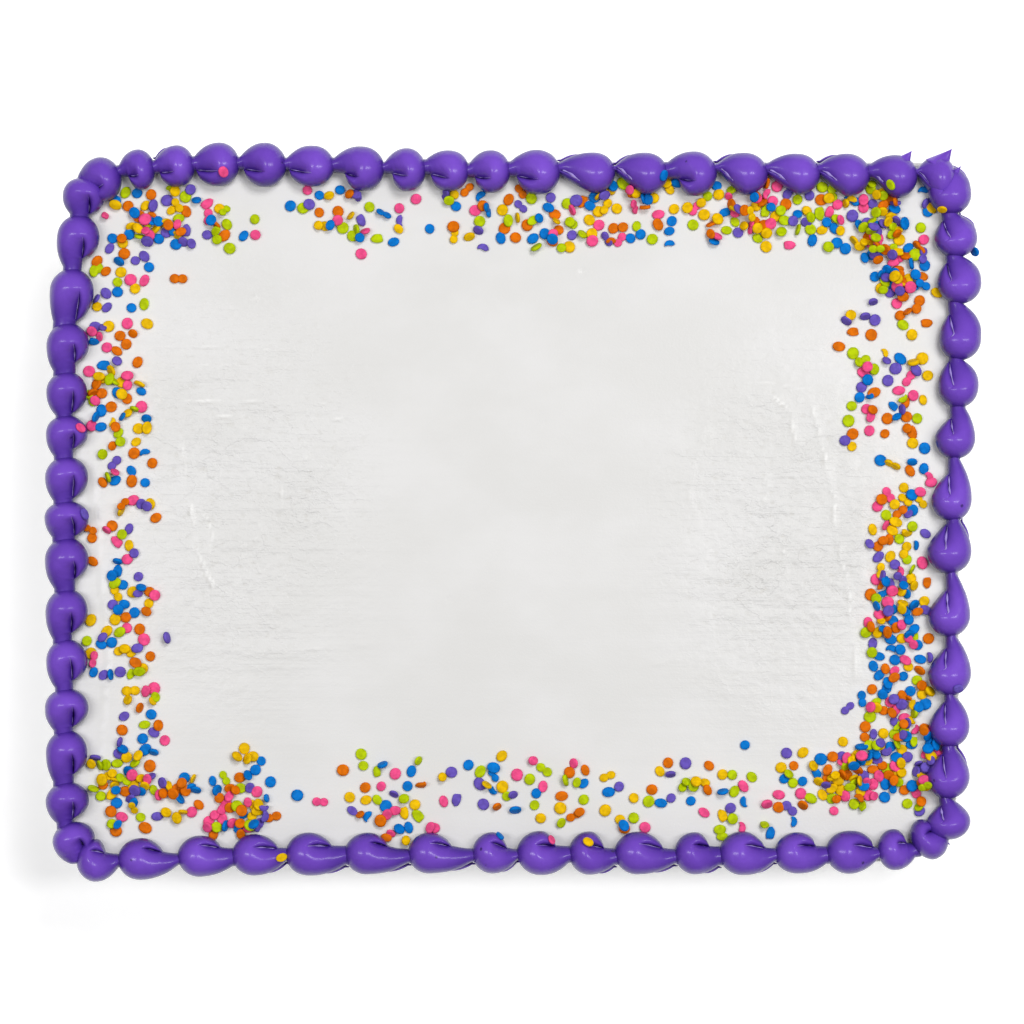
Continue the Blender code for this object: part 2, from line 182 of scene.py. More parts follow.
class Board:
    """Makes the nodes of one material."""

    def __init__(self, name: str) -> None:
        """Start a material with a Principled shader.

        Args:
            name: Name of the material.
        """
        self.material = bpy.data.materials.new(name)
        self.material.use_nodes = True
        self.tree = self.material.node_tree
        self.shader = self.tree.nodes["Principled BSDF"]

    def node(self, kind: str, settings: dict | None = None, inputs: dict | None = None) -> bpy.types.Node:
        """Add a node.

        Args:
            kind: The node's type.
            settings: Its own settings, set before its sockets.
            inputs: Values or links of its input sockets, by name or number.

        Returns:
            The new node.
        """
        made = self.tree.nodes.new(kind)
        for key, value in (settings or {}).items():
            setattr(made, key, value)
        for key, value in (inputs or {}).items():
            self.feed(made.inputs[key], value)
        return made

    def feed(self, socket: bpy.types.NodeSocket, value: object) -> None:
        """Link the value to a socket, or set it there.

        Args:
            socket: Input socket.
            value: What it gets: a number, a colour, a socket or a wrapped one.
        """
        if isinstance(value, Shade):
            self.tree.links.new(value.socket, socket)
        elif isinstance(value, bpy.types.NodeSocket):
            self.tree.links.new(value, socket)
        else:
            socket.default_value = value

    def value(self, kind: str, settings: dict | None = None, inputs: dict | None = None,
              output: str | int = 0) -> Shade:
        """Add a node and wrap one of its outputs.

        Args:
            kind: The node's type.
            settings: Its own settings.
            inputs: Values or links of its sockets.
            output: Which output gives the number.

        Returns:
            The wrapped output.
        """
        return Shade(self, self.node(kind, settings, inputs).outputs[output])

    def attribute(self, name: str) -> bpy.types.Node:
        """An Attribute node for a value that the mesh carries."""
        return self.node("ShaderNodeAttribute", {"attribute_name": name})

    def carried(self, name: str) -> Shade:
        """A number that the mesh carries."""
        return Shade(self, self.attribute(name).outputs["Fac"])

    def noise(self, place: bpy.types.NodeSocket, scale: Sequence[float], detail: float = 3.0) -> Shade:
        """Noise over places scaled along each axis.

        Args:
            place: Socket that gives the places, in metres.
            scale: Waves per metre along each axis.
            detail: Octaves of the noise.

        Returns:
            The noise, about 0 to 1.
        """
        scaled = self.node("ShaderNodeVectorMath", {"operation": "MULTIPLY"}, {0: place, 1: tuple(scale)})
        inputs = {"Vector": scaled.outputs[0], "Scale": 1.0, "Detail": detail, "Roughness": 0.55}
        return self.value("ShaderNodeTexNoise", {}, inputs, "Fac")

    def ramp(self, factor: Shade, low: float, high: float) -> Shade:
        """The factor eased from 0 at low to 1 at high."""
        return self.value("ShaderNodeMapRange", {"interpolation_type": "SMOOTHSTEP"},
                          {"Value": factor, "From Min": low, "From Max": high})

    def blend(self, factor: Shade, first: object, second: object) -> bpy.types.NodeSocket:
        """Mix two colours.

        Args:
            factor: Share of the second colour.
            first: Colour or socket at 0.
            second: Colour or socket at 1.

        Returns:
            The socket of the mixed colour.
        """
        made = self.node("ShaderNodeMix", {"data_type": "RGBA"})
        self.feed(made.inputs[0], factor)
        self.feed(made.inputs[6], first)
        self.feed(made.inputs[7], second)
        return made.outputs[2]

    def bump(self, height: Shade, distance: float, strength: float,
             normal: bpy.types.NodeSocket | None = None, invert: bool = False) -> bpy.types.NodeSocket:
        """Add a Bump node.

        Args:
            height: Height, about 0 to 1.
            distance: What a height of 1 stands for, in metres.
            strength: Share of it that shows.
            normal: Normal of the bump that this one lies on.
            invert: Whether the height goes inwards.

        Returns:
            The socket of the new normal.
        """
        inputs = {"Height": height, "Distance": distance, "Strength": strength}
        if normal is not None:
            inputs["Normal"] = normal
        return self.node("ShaderNodeBump", {"invert": invert}, inputs).outputs[0]

    def set(self, **inputs: object) -> None:
        """Feed the shader's sockets, with underscores for the spaces in their names."""
        for key, value in inputs.items():
            self.feed(self.shader.inputs[key.replace("_", " ")], value)


def rgba(red: float, green: float, blue: float) -> tuple[float, float, float, float]:
    """Linear colour from display values of 0 to 255.

    Args:
        red: Red.
        green: Green.
        blue: Blue.

    Returns:
        The colour, opaque.
    """
    shares = [channel / 255 for channel in (red, green, blue)]
    linear = [share / 12.92 if share <= 0.04045 else ((share + 0.055) / 1.055) ** 2.4 for share in shares]
    return (*linear, 1.0)


@dataclass(frozen=True)
class WhiteIcing:
    """Finish of the smooth white icing, with the marks of the spatula as bumps, and painted highlights and
    shade on its ridges and pits.

    Args:
        pale: The icing where it is lightest.
        deep: The icing where it is a little darker, in random clouds.
        hollow_shade: Painted shade in its pits and on the side of its ridges away from the light.
        crest: Painted highlight along the top of a ridge.
        roughness: Its roughness.
        streak_depth: Depth of the streaks, crumples and torn edges of the bump.
        grain_depth: Depth of the fine grain.
    """

    pale: tuple = rgba(225, 224, 223)
    deep: tuple = rgba(220, 219, 217)
    hollow_shade: tuple = rgba(212, 210, 206)
    crest: tuple = rgba(246, 245, 243)
    roughness: float = 0.34
    streak_depth: float = 0.85 * MM
    grain_depth: float = 0.09 * MM

    def material(self) -> bpy.types.Material:
        """Build the material.

        Returns:
            The material.
        """
        board = Board("white_icing")
        flow = board.attribute("flow").outputs["Vector"]
        worked = board.carried("worked")
        cloud = board.noise(flow, (16, 22, 1), 4.0)
        streak = board.noise(flow, (14, 420, 1), 4.0)
        fine = board.noise(flow, (60, 1500, 1), 3.0)
        grain = board.noise(flow, (900, 900, 1), 2.0)
        crumple = board.noise(flow, (240, 300, 1), 6.0)
        smooth = board.blend(board.ramp(cloud, 0.35, 0.7), self.deep, self.pale)
        # Painted shade in the pits of the crumpled icing.
        hollow_shade = board.ramp(crumple, 0.44, 0.30) * worked
        # Painted highlight along the top of each ridge, and painted shade on its side away from the light.
        crest, lee = board.carried("crest"), board.carried("lee")
        lit = board.ramp(crest, 0.12, 0.95) * 0.7
        dim = (board.ramp(lee, 0.15, 1.0) * (1.0 - board.ramp(crest, 0.1, 0.5))).clamped() * 0.6
        painted_relief_light = board.blend(dim, board.blend(lit, board.blend(hollow_shade, smooth, self.hollow_shade), self.crest),
                             self.hollow_shade)
        board.set(Base_Color=painted_relief_light,
                  Roughness=(cloud * 0.16 + grain * 0.06 + (self.roughness - 0.10)).clamped(),
                  Specular_IOR_Level=0.5, Coat_Weight=0.15, Coat_Roughness=0.22)
        level = board.noise(flow, (46, 64, 1), 5.0) - 0.5
        contour = level.math("ABSOLUTE", level)
        torn = 1.0 - board.ramp(contour, 0.0, 0.022)
        height = (streak * (worked * 0.8 + 0.03) + fine * (worked * 0.25 + 0.01) + crumple * worked * 1.9
                  + torn * worked * 0.22)
        coarse = board.bump(height, self.streak_depth, 0.8)
        board.set(Normal=board.bump(grain, self.grain_depth, 0.6, coarse))
        return board.material


@dataclass(frozen=True)
class PipedIcing:
    """Finish of the soft purple icing of the border, with painted shade low on the beads, in their creases
    and air holes, and painted highlights on the pale lips along the creases.

    Args:
        body: The icing where it is lightest.
        dark: The icing where it is a little darker.
        deep: Painted shade low on a bead and in its creases.
        fold: The pale lip along a crease, a painted highlight.
        pit_shade: Painted shade in the small air holes.
        roughness: Its roughness.
        bubble_depth: Depth of the air holes.
        wrinkle_depth: Depth of the bump's uneven surface.
        grain_depth: Depth of the fine grain.
    """

    body: tuple = rgba(125, 80, 206)
    dark: tuple = rgba(106, 65, 182)
    deep: tuple = rgba(50, 24, 126)
    fold: tuple = rgba(186, 172, 224)
    pit_shade: tuple = rgba(44, 26, 90)
    roughness: float = 0.38
    bubble_depth: float = 0.25 * MM
    wrinkle_depth: float = 0.55 * MM
    grain_depth: float = 0.10 * MM

    def material(self) -> bpy.types.Material:
        """Build the material.

        Returns:
            The material.
        """
        board = Board("purple_icing")
        place = board.node("ShaderNodeTexCoord").outputs["Object"]
        tone, fold, deep = board.carried("tone"), board.carried("fold"), board.carried("deep")
        cloud = board.noise(place, (140, 140, 140), 3.0)
        grain = board.noise(place, (1100, 1100, 1100), 2.0)
        cells = board.value("ShaderNodeTexVoronoi", {"feature": "F1"},
                            {"Vector": place, "Scale": 75.0, "Randomness": 1.0}, "Distance")
        bubble = 1.0 - board.ramp(cells, 0.035, 0.07)
        mottled = board.blend((cloud * 0.7 + tone * 0.6 - 0.15).clamped(), self.dark, self.body)
        # Painted shade low on the beads, in their creases and in the air holes; the pale lips get a painted
        # highlight.
        painted_shade_colour = board.blend(bubble * 0.75, board.blend(deep, mottled, self.deep), self.pit_shade)
        board.set(Base_Color=board.blend(fold, painted_shade_colour, self.fold),
                  Roughness=(cloud * 0.14 + (self.roughness - 0.08) - fold * 0.12).clamped(),
                  Specular_IOR_Level=0.14, Coat_Weight=0.50, Coat_Roughness=0.20)
        wrinkle = board.noise(place, (330, 330, 330), 5.0)
        wavy = board.bump(wrinkle, self.wrinkle_depth, 0.6)
        pits = board.bump(bubble, self.bubble_depth, 1.0, wavy, invert=True)
        board.set(Normal=board.bump(grain, self.grain_depth, 0.5, pits))
        return board.material


class Sugar(Enum):
    """Colours of the confetti: slot name and display colour."""

    ORANGE = ("quin_orange", (230, 116, 2))
    PINK = ("quin_pink", (252, 86, 146))
    YELLOW = ("quin_yellow", (244, 196, 2))
    LIME = ("quin_lime", (190, 212, 4))
    BLUE = ("quin_blue", (2, 124, 214))
    PURPLE = ("quin_purple", (110, 90, 192))

    @property
    def slot(self) -> str:
        """The record's slot for the colour."""
        return self.value[0]

    @property
    def colour(self) -> tuple:
        """Its linear colour."""
        return rgba(*self.value[1])


@dataclass(frozen=True)
class SugarConfetti:
    """Finish of one colour of pressed sugar confetti.

    Args:
        sugar: Its colour.
        roughness: Its roughness.
        grain_depth: Depth of the sugar's grain.
    """

    sugar: Sugar
    roughness: float = 0.55
    grain_depth: float = 0.10 * MM

    def material(self) -> bpy.types.Material:
        """Build the material.

        Returns:
            The material.
        """
        board = Board(self.sugar.slot)
        place = board.node("ShaderNodeTexCoord").outputs["Object"]
        cloud = board.noise(place, (420, 420, 420), 2.0)
        grain = board.noise(place, (1900, 1900, 1900), 2.0)
        red, green, blue, _ = self.sugar.colour
        # A darker tone of the sugar's colour, mixed in by noise.
        deep = (red * 0.72, green * 0.70, blue * 0.72, 1.0)
        board.set(Base_Color=board.blend(board.ramp(cloud, 0.3, 0.72), deep, self.sugar.colour),
                  Roughness=(grain * 0.15 + (self.roughness - 0.07)).clamped(),
                  Specular_IOR_Level=0.10, Normal=board.bump(grain, self.grain_depth, 0.6))
        return board.material


# Meshes


def linked(name: str, data: bpy.types.ID) -> bpy.types.Object:
    """Make an object from its data and link it to the scene.

    Args:
        name: Its name.
        data: Its mesh, lamp or camera.

    Returns:
        The object.
    """
    made = bpy.data.objects.new(name, data)
    bpy.context.scene.collection.objects.link(made)
    return made


def give(mesh: bpy.types.Mesh, name: str, kind: str, values: Sequence | np.ndarray) -> None:
    """Give a mesh an attribute, with a number or a vector for each vertex.

    Args:
        mesh: The mesh.
        name: Name of the attribute.
        kind: FLOAT, INT or FLOAT_VECTOR.
        values: The numbers or vectors, in the order of the vertices.
    """
    numbers = np.asarray(values, np.int32 if kind == "INT" else np.float32).ravel()
    field_name = "vector" if kind == "FLOAT_VECTOR" else "value"
    mesh.attributes.new(name, kind, "POINT").data.foreach_set(field_name, numbers)


@dataclass
class Shell:
    """Vertices, faces and per-vertex values that grow piece by piece into one mesh.

    Args:
        places: Arrays of vertices, in metres.
        faces: Vertex numbers of each face.
        values: For each named attribute, arrays of numbers.
        count: How many vertices there are.
    """

    places: list = field(default_factory=list)
    faces: list = field(default_factory=list)
    values: dict = field(default_factory=dict)
    count: int = 0

    def add(self, places: np.ndarray, faces: Sequence[Sequence[int]], **values: np.ndarray | float) -> None:
        """Add vertices and the faces on them.

        Args:
            places: Vertices, in metres.
            faces: Vertex numbers of each face, from 0 within this part.
            values: The named attributes, each one number for all these vertices or a number for each.
        """
        self.places.append(places)
        self.faces.extend([[corner + self.count for corner in face] for face in faces])
        for key, value in values.items():
            self.values.setdefault(key, []).append(np.broadcast_to(value, len(places)))
        self.count += len(places)

    def object(self, name: str, material: bpy.types.Material) -> bpy.types.Object:
        """Turn the shell into a smooth-shaded object.

        Args:
            name: Name of the object.
            material: Its material.

        Returns:
            The object, linked to the scene.
        """
        mesh = bpy.data.meshes.new(name)
        mesh.from_pydata(np.vstack(self.places).tolist(), [], self.faces)
        for key, parts in self.values.items():
            give(mesh, key, "FLOAT", np.concatenate(parts))
        mesh.polygons.foreach_set("use_smooth", [True] * len(mesh.polygons))
        mesh.materials.append(material)
        mesh.update()
        return linked(name, mesh)


def tube_faces(rings: int, sides: int) -> list[list[int]]:
    """Faces of a closed tube whose vertices are a pole, the rings one after another and a pole.

    Args:
        rings: Number of rings.
        sides: Vertices round a ring.

    Returns:
        The faces.
    """
    faces = []
    for step in range(sides):
        after = (step + 1) % sides
        faces.append([0, 1 + step, 1 + after])
        for ring in range(rings - 1):
            low, high = 1 + ring * sides, 1 + (ring + 1) * sides
            faces.append([low + step, high + step, high + after, low + after])
        last = 1 + (rings - 1) * sides
        faces.append([last + after, last + step, 1 + rings * sides])
    return faces


def sweep(path: np.ndarray, across: np.ndarray, wide: np.ndarray, rise: np.ndarray, hang: np.ndarray,
          sides: int) -> tuple[np.ndarray, list[list[int]]]:
    """A closed tube along a path, with a pole at each end.

    Args:
        path: Middle of each ring, the first and last being the poles.
        across: Level direction of the rings' width.
        wide: Half width of each ring.
        rise: Half height above the middle.
        hang: Half height below it.
        sides: Vertices round a ring.

    Returns:
        The vertices and the faces.
    """
    turn = np.arange(sides) * math.tau / sides
    rings = len(path) - 2
    level = np.cos(turn)[None, :] * wide[1:-1, None]
    sine = np.sin(turn)[None, :]
    upright = np.where(sine > 0, sine * rise[1:-1, None], sine * hang[1:-1, None])
    places = np.empty((rings, sides, 3))
    places[:, :, :2] = path[1:-1, None, :2] + across[None, None, :] * level[:, :, None]
    places[:, :, 2] = path[1:-1, None, 2] + upright
    return np.vstack([path[:1], places.reshape(-1, 3), path[-1:]]), tube_faces(rings, sides)


# Piped border


@dataclass(frozen=True)
class BeadStyle:
    """How one kind of bead is piped: along in shares of its length to the next head, across in half widths.

    Args:
        crease: How far inwards the crease beside the lobe lies.
        start: Where the crease starts.
        end: Where the lobe ends.
        bend: How soon the crease has left the bead's inner edge.
        hook: Share of that bend that shows, as a hook at the crease's start.
        depth: How far down the crease cuts, as a share of the bead's height.
        gap: How far the lobe's end stands off the body.
        blunt: How blunt that end is, from 0 for a leaf's point to 1 for a curl.
        band: How far inside the inner edge the crease reaches the neck.
        neck_out: How far the neck reaches outwards.
        neck_in: How far the neck reaches inwards.
        full_out: Power by which the outer side narrows: 1 is straight, more is fuller.
        full_in: The same for the inner side.
        lip: Half width of the pale lip along the crease, in mm.
        fin: Chance of a thin fin on the outer side of the tail.
    """

    crease: float
    start: float
    end: float
    bend: float
    hook: float
    depth: float
    gap: float
    blunt: float
    band: float
    neck_out: float
    neck_in: float
    full_out: float
    full_in: float
    lip: float
    fin: float


class Piping(Enum):
    """The kinds of bead that the border has."""

    CURL = BeadStyle(0.40, 0.28, 0.86, 0.14, 0.0, 0.80, 0.24, 0.25, 0.0, 0.42, 0.26, 2.3, 2.3, 0.18, 0.1)
    SMOOTH = BeadStyle(0.72, 0.42, 1.0, 0.20, 0.0, 0.30, 0.0, 0.0, 0.16, 0.50, 0.05, 2.2, 1.25, 0.62, 0.5)
    EAR = BeadStyle(0.36, 0.26, 0.88, 0.12, 0.0, 0.92, 0.16, 0.20, 0.0, 0.64, 0.30, 2.4, 2.3, 0.14, 0.0)
    LONG = BeadStyle(0.54, 0.22, 0.76, 0.12, 0.0, 0.80, 0.14, 0.20, 0.0, 0.44, 0.24, 2.3, 2.1, 0.20, 0.7)
    FOLD = BeadStyle(0.22, 0.30, 0.84, 0.16, 0.45, 0.70, 0.14, 0.0, 0.0, 0.34, 0.24, 1.9, 1.45, 0.40, 0.4)
    COIL = BeadStyle(0.32, 0.26, 0.90, 0.22, 0.50, 0.70, 0.10, 0.0, 0.0, 0.22, 0.50, 2.8, 2.0, 0.34, 0.2)


@dataclass
class BeadForm:
    """One bead's own form, with the style's values varied a little.

    Args:
        style: How it is piped.
        peak: Where it is widest, as a share of its length to the next head.
        reach: Where its tail ends, under the next head.
        draws: Seeded draws.
    """

    style: BeadStyle
    peak: float
    reach: float
    draws: InitVar[np.random.Generator]
    crease: float = field(init=False)
    start: float = field(init=False)
    end: float = field(init=False)
    neck_out: float = field(init=False)
    neck_in: float = field(init=False)

    def __post_init__(self, draws: np.random.Generator) -> None:
        """Vary the style's values.

        Args:
            draws: Seeded draws.
        """
        style = self.style
        self.crease = style.crease + draws.uniform(-0.09, 0.09)
        self.start = style.start + draws.uniform(-0.05, 0.06)
        self.end = min(style.end + draws.uniform(-0.13, 0.08), 1.0)
        self.neck_out = style.neck_out + draws.uniform(-0.13, 0.13)
        self.neck_in = style.neck_in + draws.uniform(-0.10, 0.10)

    def dome(self, v: np.ndarray) -> np.ndarray:
        """The round head, from 0 to 1 at the widest place."""
        return np.sqrt(np.clip(1.0 - np.clip(1.0 - v / self.peak, 0.0, 1.0) ** 2, 0.0, 1.0))

    def tall(self, v: np.ndarray) -> np.ndarray:
        """Height over the bead's middle, as a share of a full head's."""
        fallen = smoothstep((v - self.peak * 0.8) / (1.0 - self.peak * 0.8))
        return self.dome(v) * (0.96 - 0.46 * fallen) * self.closing(v)

    def closing(self, v: np.ndarray) -> np.ndarray:
        """How the tail closes at its end, under the next head."""
        shut = np.clip((v / self.reach - 0.90) / 0.10, 0.0, 1.0)
        return np.sqrt(np.clip(1.0 - shut ** 2, 0.0, 1.0))

    def cut(self, v: np.ndarray) -> np.ndarray:
        """Work out how far down the crease cuts.

        Args:
            v: Places along the bead.

        Returns:
            The depths, as shares of the bead's height.
        """
        shown = self.start + self.style.bend * (1.0 - self.style.hook)
        return (self.style.depth * smoothstep((v - shown) / (0.6 * (self.end - shown)))
                * (1.0 - smoothstep((v - self.end + 0.02) / 0.05)))

    def edges(self, v: np.ndarray) -> tuple[np.ndarray, np.ndarray, np.ndarray]:
        """The bead in plan.

        Args:
            v: Places along the bead.

        Returns:
            How far inwards its outer edge, its crease and its inner edge lie.
        """
        style = self.style
        gone = np.clip((v - self.peak) / (1.0 - self.peak), 0.0, 1.0)
        outer = -self.dome(v) * (BEAD_WIDEST - (BEAD_WIDEST - self.neck_out) * gone ** style.full_out)
        slid = smoothstep((v - self.start) / (1.0 - self.start))
        line = self.crease + (self.neck_in - style.band - self.crease) * slid
        body = line + style.band * slid
        slid_end = smoothstep((self.end - self.start) / (1.0 - self.start))
        last = self.crease + (self.neck_in - self.crease) * slid_end + style.gap
        curled = np.clip((v - self.peak) / (self.end - self.peak), 0.0, 1.0)
        taper = ((1.0 - style.blunt) * curled ** style.full_in
                 + style.blunt * (1.0 - np.sqrt(1.0 - 0.999 * curled ** 2.6)))
        inner = self.dome(v) * (BEAD_WIDEST - (BEAD_WIDEST - last) * taper)
        past = smoothstep((v - self.end) / 0.035)
        inner = inner * (1.0 - past) + body * past
        opened = smoothstep((v - self.start) / style.bend)
        crease = np.minimum(inner - (inner - line) * opened, inner - 0.07 * (inner - outer))
        middle = (outer + inner) / 2
        return tuple(middle + (edge - middle) * self.closing(v) for edge in (outer, crease, inner))

    def height(self, v: np.ndarray, x: np.ndarray) -> np.ndarray:
        """Height of the upper surface over the bead's middle level.

        Args:
            v: Places along the bead.
            x: How far inwards, with a last axis more or the same shape.

        Returns:
            The height, as a share of a full head's, in the shape of x.
        """
        shape = v.shape + (1,) * (x.ndim - v.ndim)
        outer, crease, inner = [edge.reshape(shape) for edge in self.edges(v)]
        tall, cut = self.tall(v).reshape(shape), self.cut(v).reshape(shape)

        def arch(low: np.ndarray, high: np.ndarray) -> np.ndarray:
            """A half ellipse of height 1 between two places."""
            off_middle = (2 * x - low - high) / np.maximum(high - low, 1e-6)
            return np.sqrt(np.clip(1.0 - off_middle ** 2, 0.0, 1.0))

        parted = np.where(x < crease, arch(outer, crease), LOBE_RISE * arch(crease, inner))
        return tall * ((1.0 - cut) * arch(outer, inner) + cut * parted)


class Side(Enum):
    """The cake's sides in the order of piping, with the nodes that they stand for."""

    BACK = "border_back"
    LEFT = "border_left"
    FRONT = "border_front"
    RIGHT = "border_right"


class PipedLine:
    """A side's curve, read by the distance along it."""

    def __init__(self, points: Sequence[Sequence[float]]) -> None:
        """Draw a smooth curve through plan points in mm.

        Args:
            points: The points, in the order of piping.
        """
        marks = np.array(points, float) * MM
        marks = np.vstack([2 * marks[0] - marks[1], marks, 2 * marks[-1] - marks[-2]])
        curve = []
        for k in range(1, len(marks) - 2):
            before, start, end, after = marks[k - 1:k + 3]
            for step in range(CURVE_STEPS):
                t = step / CURVE_STEPS
                curve.append(0.5 * (2 * start + (end - before) * t
                                    + (2 * before - 5 * start + 4 * end - after) * t ** 2
                                    + (3 * start - 3 * end + after - before) * t ** 3))
        curve.append(marks[-2])
        self.curve = np.array(curve)
        gaps = np.linalg.norm(np.diff(self.curve, axis=0), axis=1)
        self.run = np.concatenate([[0.0], np.cumsum(gaps)])
        self.length = float(self.run[-1])

    def at(self, distance: float) -> np.ndarray:
        """Plan point at a distance from the start, held within the curve."""
        return np.array([np.interp(distance, self.run, self.curve[:, axis]) for axis in (0, 1)])

    def place(self, distance: float) -> np.ndarray:
        """Find the plan point at a distance from the start.

        Args:
            distance: The distance, which may lie a little past the ends.

        Returns:
            The point.
        """
        clipped = min(max(distance, 0.0), self.length)
        return self.at(clipped) + self.heading(distance) * (distance - clipped)

    def heading(self, distance: float) -> np.ndarray:
        """Find the direction of piping.

        Args:
            distance: Distance from the start.

        Returns:
            The direction, of length 1.
        """
        low = min(max(distance - HEADING_STEP / 2, 0.0), self.length - HEADING_STEP)
        step = self.at(low + HEADING_STEP) - self.at(low)
        return step / np.linalg.norm(step)


@dataclass
class PipedSide:
    """One side's run of piped beads.

    Args:
        side: Which side it is.
        points: Plan points of its line, in mm.
        lengths: Length of each bead, in mm.
        kinds: Kind of each bead, as (last bead's number, kind) for each stretch.
        tips: Lifted tips: base, end and base radius, in mm.
        rings: Rings along a bead.
        arcs: Vertices over the lobe, over the body and under both, round a ring.
        ripple: How far the soft icing flows in and out.
        lip_rings: Rings along a lip.
        fin_rings: Rings along a fin.
        fin_span: Where a fin starts and ends, in shares of the bead's length.
        fin_size: A fin's half width, rise and hang, in mm.
        tip_rings: Rings along a lifted tip.
    """

    side: Side
    points: tuple
    lengths: tuple
    kinds: tuple
    tips: tuple = ()
    rings: int = 58
    arcs: tuple = (12, 24, 14)
    ripple: float = 0.10 * MM
    lip_rings: int = 28
    fin_rings: int = 20
    fin_span: tuple = (0.58, 1.08)
    fin_size: tuple = (0.9, 1.7, 3.0)
    tip_rings: int = 26
    line: PipedLine = field(init=False)

    def __post_init__(self) -> None:
        """Draw the line."""
        self.line = PipedLine(self.points)

    def kind(self, number: int) -> BeadStyle:
        """Style of the bead with this number."""
        return next(kind.value for last, kind in self.kinds if number <= last)

    def build(self, widths: np.random.Generator, shapes: np.random.Generator,
              material: bpy.types.Material) -> bpy.types.Object:
        """Make the run.

        Args:
            widths: Draws of the beads' widths, shared with the solids' rule.
            shapes: Draws of everything else that varies.
            material: The icing.

        Returns:
            The piece that stands for the side's node.
        """
        shell = Shell()
        scale = self.line.length / sum(self.lengths)
        start = 0.0
        for number, length in enumerate(self.lengths):
            width = 1.0 + widths.uniform(-BEAD_WIDTH_SPREAD, BEAD_WIDTH_SPREAD)
            reach = TAIL_REACH if number < len(self.lengths) - 1 else LAST_REACH
            self.add_bead(shell, start, length * scale, width, reach, self.kind(number), shapes)
            start += length * scale
        for base, tip, radius in self.tips:
            self.add_tip(shell, np.array(base) * MM, np.array(tip) * MM, radius * MM)
        return shell.object("piped_" + self.side.name.lower(), material)

    def add_bead(self, shell: Shell, start: float, length: float, width: float, reach: float,
                 style: BeadStyle, draws: np.random.Generator) -> None:
        """Pipe one bead: a round head that narrows to its neck, with a lobe parted off by a crease.

        Args:
            shell: Shell to add it to.
            start: Where its head is along the line.
            length: Its length to the next head.
            width: Its width, as a share of the usual.
            reach: Where its tail ends, as a share of its length.
            style: How it is piped.
            draws: Seeded draws.
        """
        head = self.line.place(start)
        along = self.line.place(start + length) - head
        along = along / np.linalg.norm(along)
        across = np.array((-along[1], along[0]))
        half = BEAD_HALF_WIDTH * width
        form = BeadForm(style, min(1.02 * half / length, 0.46), reach, draws)
        tone = draws.uniform(0.0, 1.0)

        def spot(v: np.ndarray, inward: np.ndarray, height: np.ndarray) -> np.ndarray:
            """Turn the bead's own places into places in the frame.

            Args:
                v: Shares along the bead.
                inward: Shares of its half width inwards.
                height: Heights above its middle.

            Returns:
                The places.
            """
            plan = head + v[..., None] * along * length + inward[..., None] * across * half
            level = CAKE_HEIGHT + BEAD_AXIS_HEIGHT - TAIL_DROP * (v / TAIL_REACH) ** 2 + height * width
            return np.concatenate([plan, level[..., None]], axis=-1)

        v = reach * (0.5 - 0.5 * np.cos(np.pi * np.linspace(0.0, 1.0, self.rings)))
        outer, crease, inner = [edge[:, None] for edge in form.edges(v)]
        over_lobe, over_body, under = self.arcs
        turns = [np.linspace(0.0, math.pi, over_lobe + 1), np.linspace(0.0, math.pi, over_body + 1)[1:],
                 np.linspace(math.pi, math.tau, under + 2)[1:-1]]
        spans = ((crease, inner), (outer, crease), (outer, inner))
        x = np.hstack([(low + high) / 2 + (high - low) / 2 * np.cos(turn) for turn, (low, high)
                       in zip(turns, spans)])
        top = over_lobe + over_body + 1
        height = form.height(v, x)
        height[:, top:] = form.tall(v)[:, None] * np.sin(turns[2])
        level = np.where(height > 0.0, BEAD_RISE, BEAD_HANG) * height
        along_ring = np.broadcast_to(v[:, None], x.shape)
        rings = spot(along_ring, x, level)
        places = np.vstack([rings[0].mean(axis=0), rings[1:-1].reshape(-1, 3), rings[-1].mean(axis=0)])
        # Painted shade: the lower a vertex lies on the bead, the darker its colour.
        deep = smoothstep((0.96 - height[1:-1]) / 0.90).ravel()
        shell.add(self.rippled(places, draws), tube_faces(self.rings - 2, x.shape[1]), tone=tone,
                  fold=0.0, deep=np.concatenate([[1.0], deep, [1.0]]))

        if style.lip > 0.0:
            shown = form.start + style.bend * (1.0 - 0.8 * style.hook)
            v = np.linspace(shown + draws.uniform(0.0, 0.10), min(form.end, 0.97), self.lip_rings)
            beside = form.edges(v)[1] - 0.03
            taper = np.sin(np.pi * np.linspace(0.03, 0.97, self.lip_rings)) ** 0.6
            uneven = 1.0 + 0.45 * np.sin(np.linspace(0.0, 11.0, self.lip_rings) + 6.0 * tone)
            thin = style.lip * MM * taper * draws.uniform(0.5, 1.5) * uneven
            path = spot(v, beside, form.height(v, beside) * BEAD_RISE)
            places, faces = sweep(path, across, thin, thin * 0.8, thin, 10)
            # The lip is painted pale as a highlight, with no painted shade.
            shell.add(places, faces, tone=tone, fold=0.60, deep=0.0)
        if draws.uniform() < style.fin:
            v = np.linspace(*self.fin_span, self.fin_rings)
            apart = np.linspace(0.10, -0.13, self.fin_rings)
            sag = np.linspace(-0.05, -0.40, self.fin_rings) * BEAD_RISE
            taper = np.sin(np.pi * np.linspace(0.0, 1.0, self.fin_rings)) ** 0.6
            wide, rise, hang = [size * MM * taper for size in self.fin_size]
            places, faces = sweep(spot(v, form.edges(v)[0] + apart, sag), across, wide, rise, hang, 12)
            # The fin gets a faint painted highlight and some painted shade.
            shell.add(places, faces, tone=tone, fold=0.04, deep=0.35)

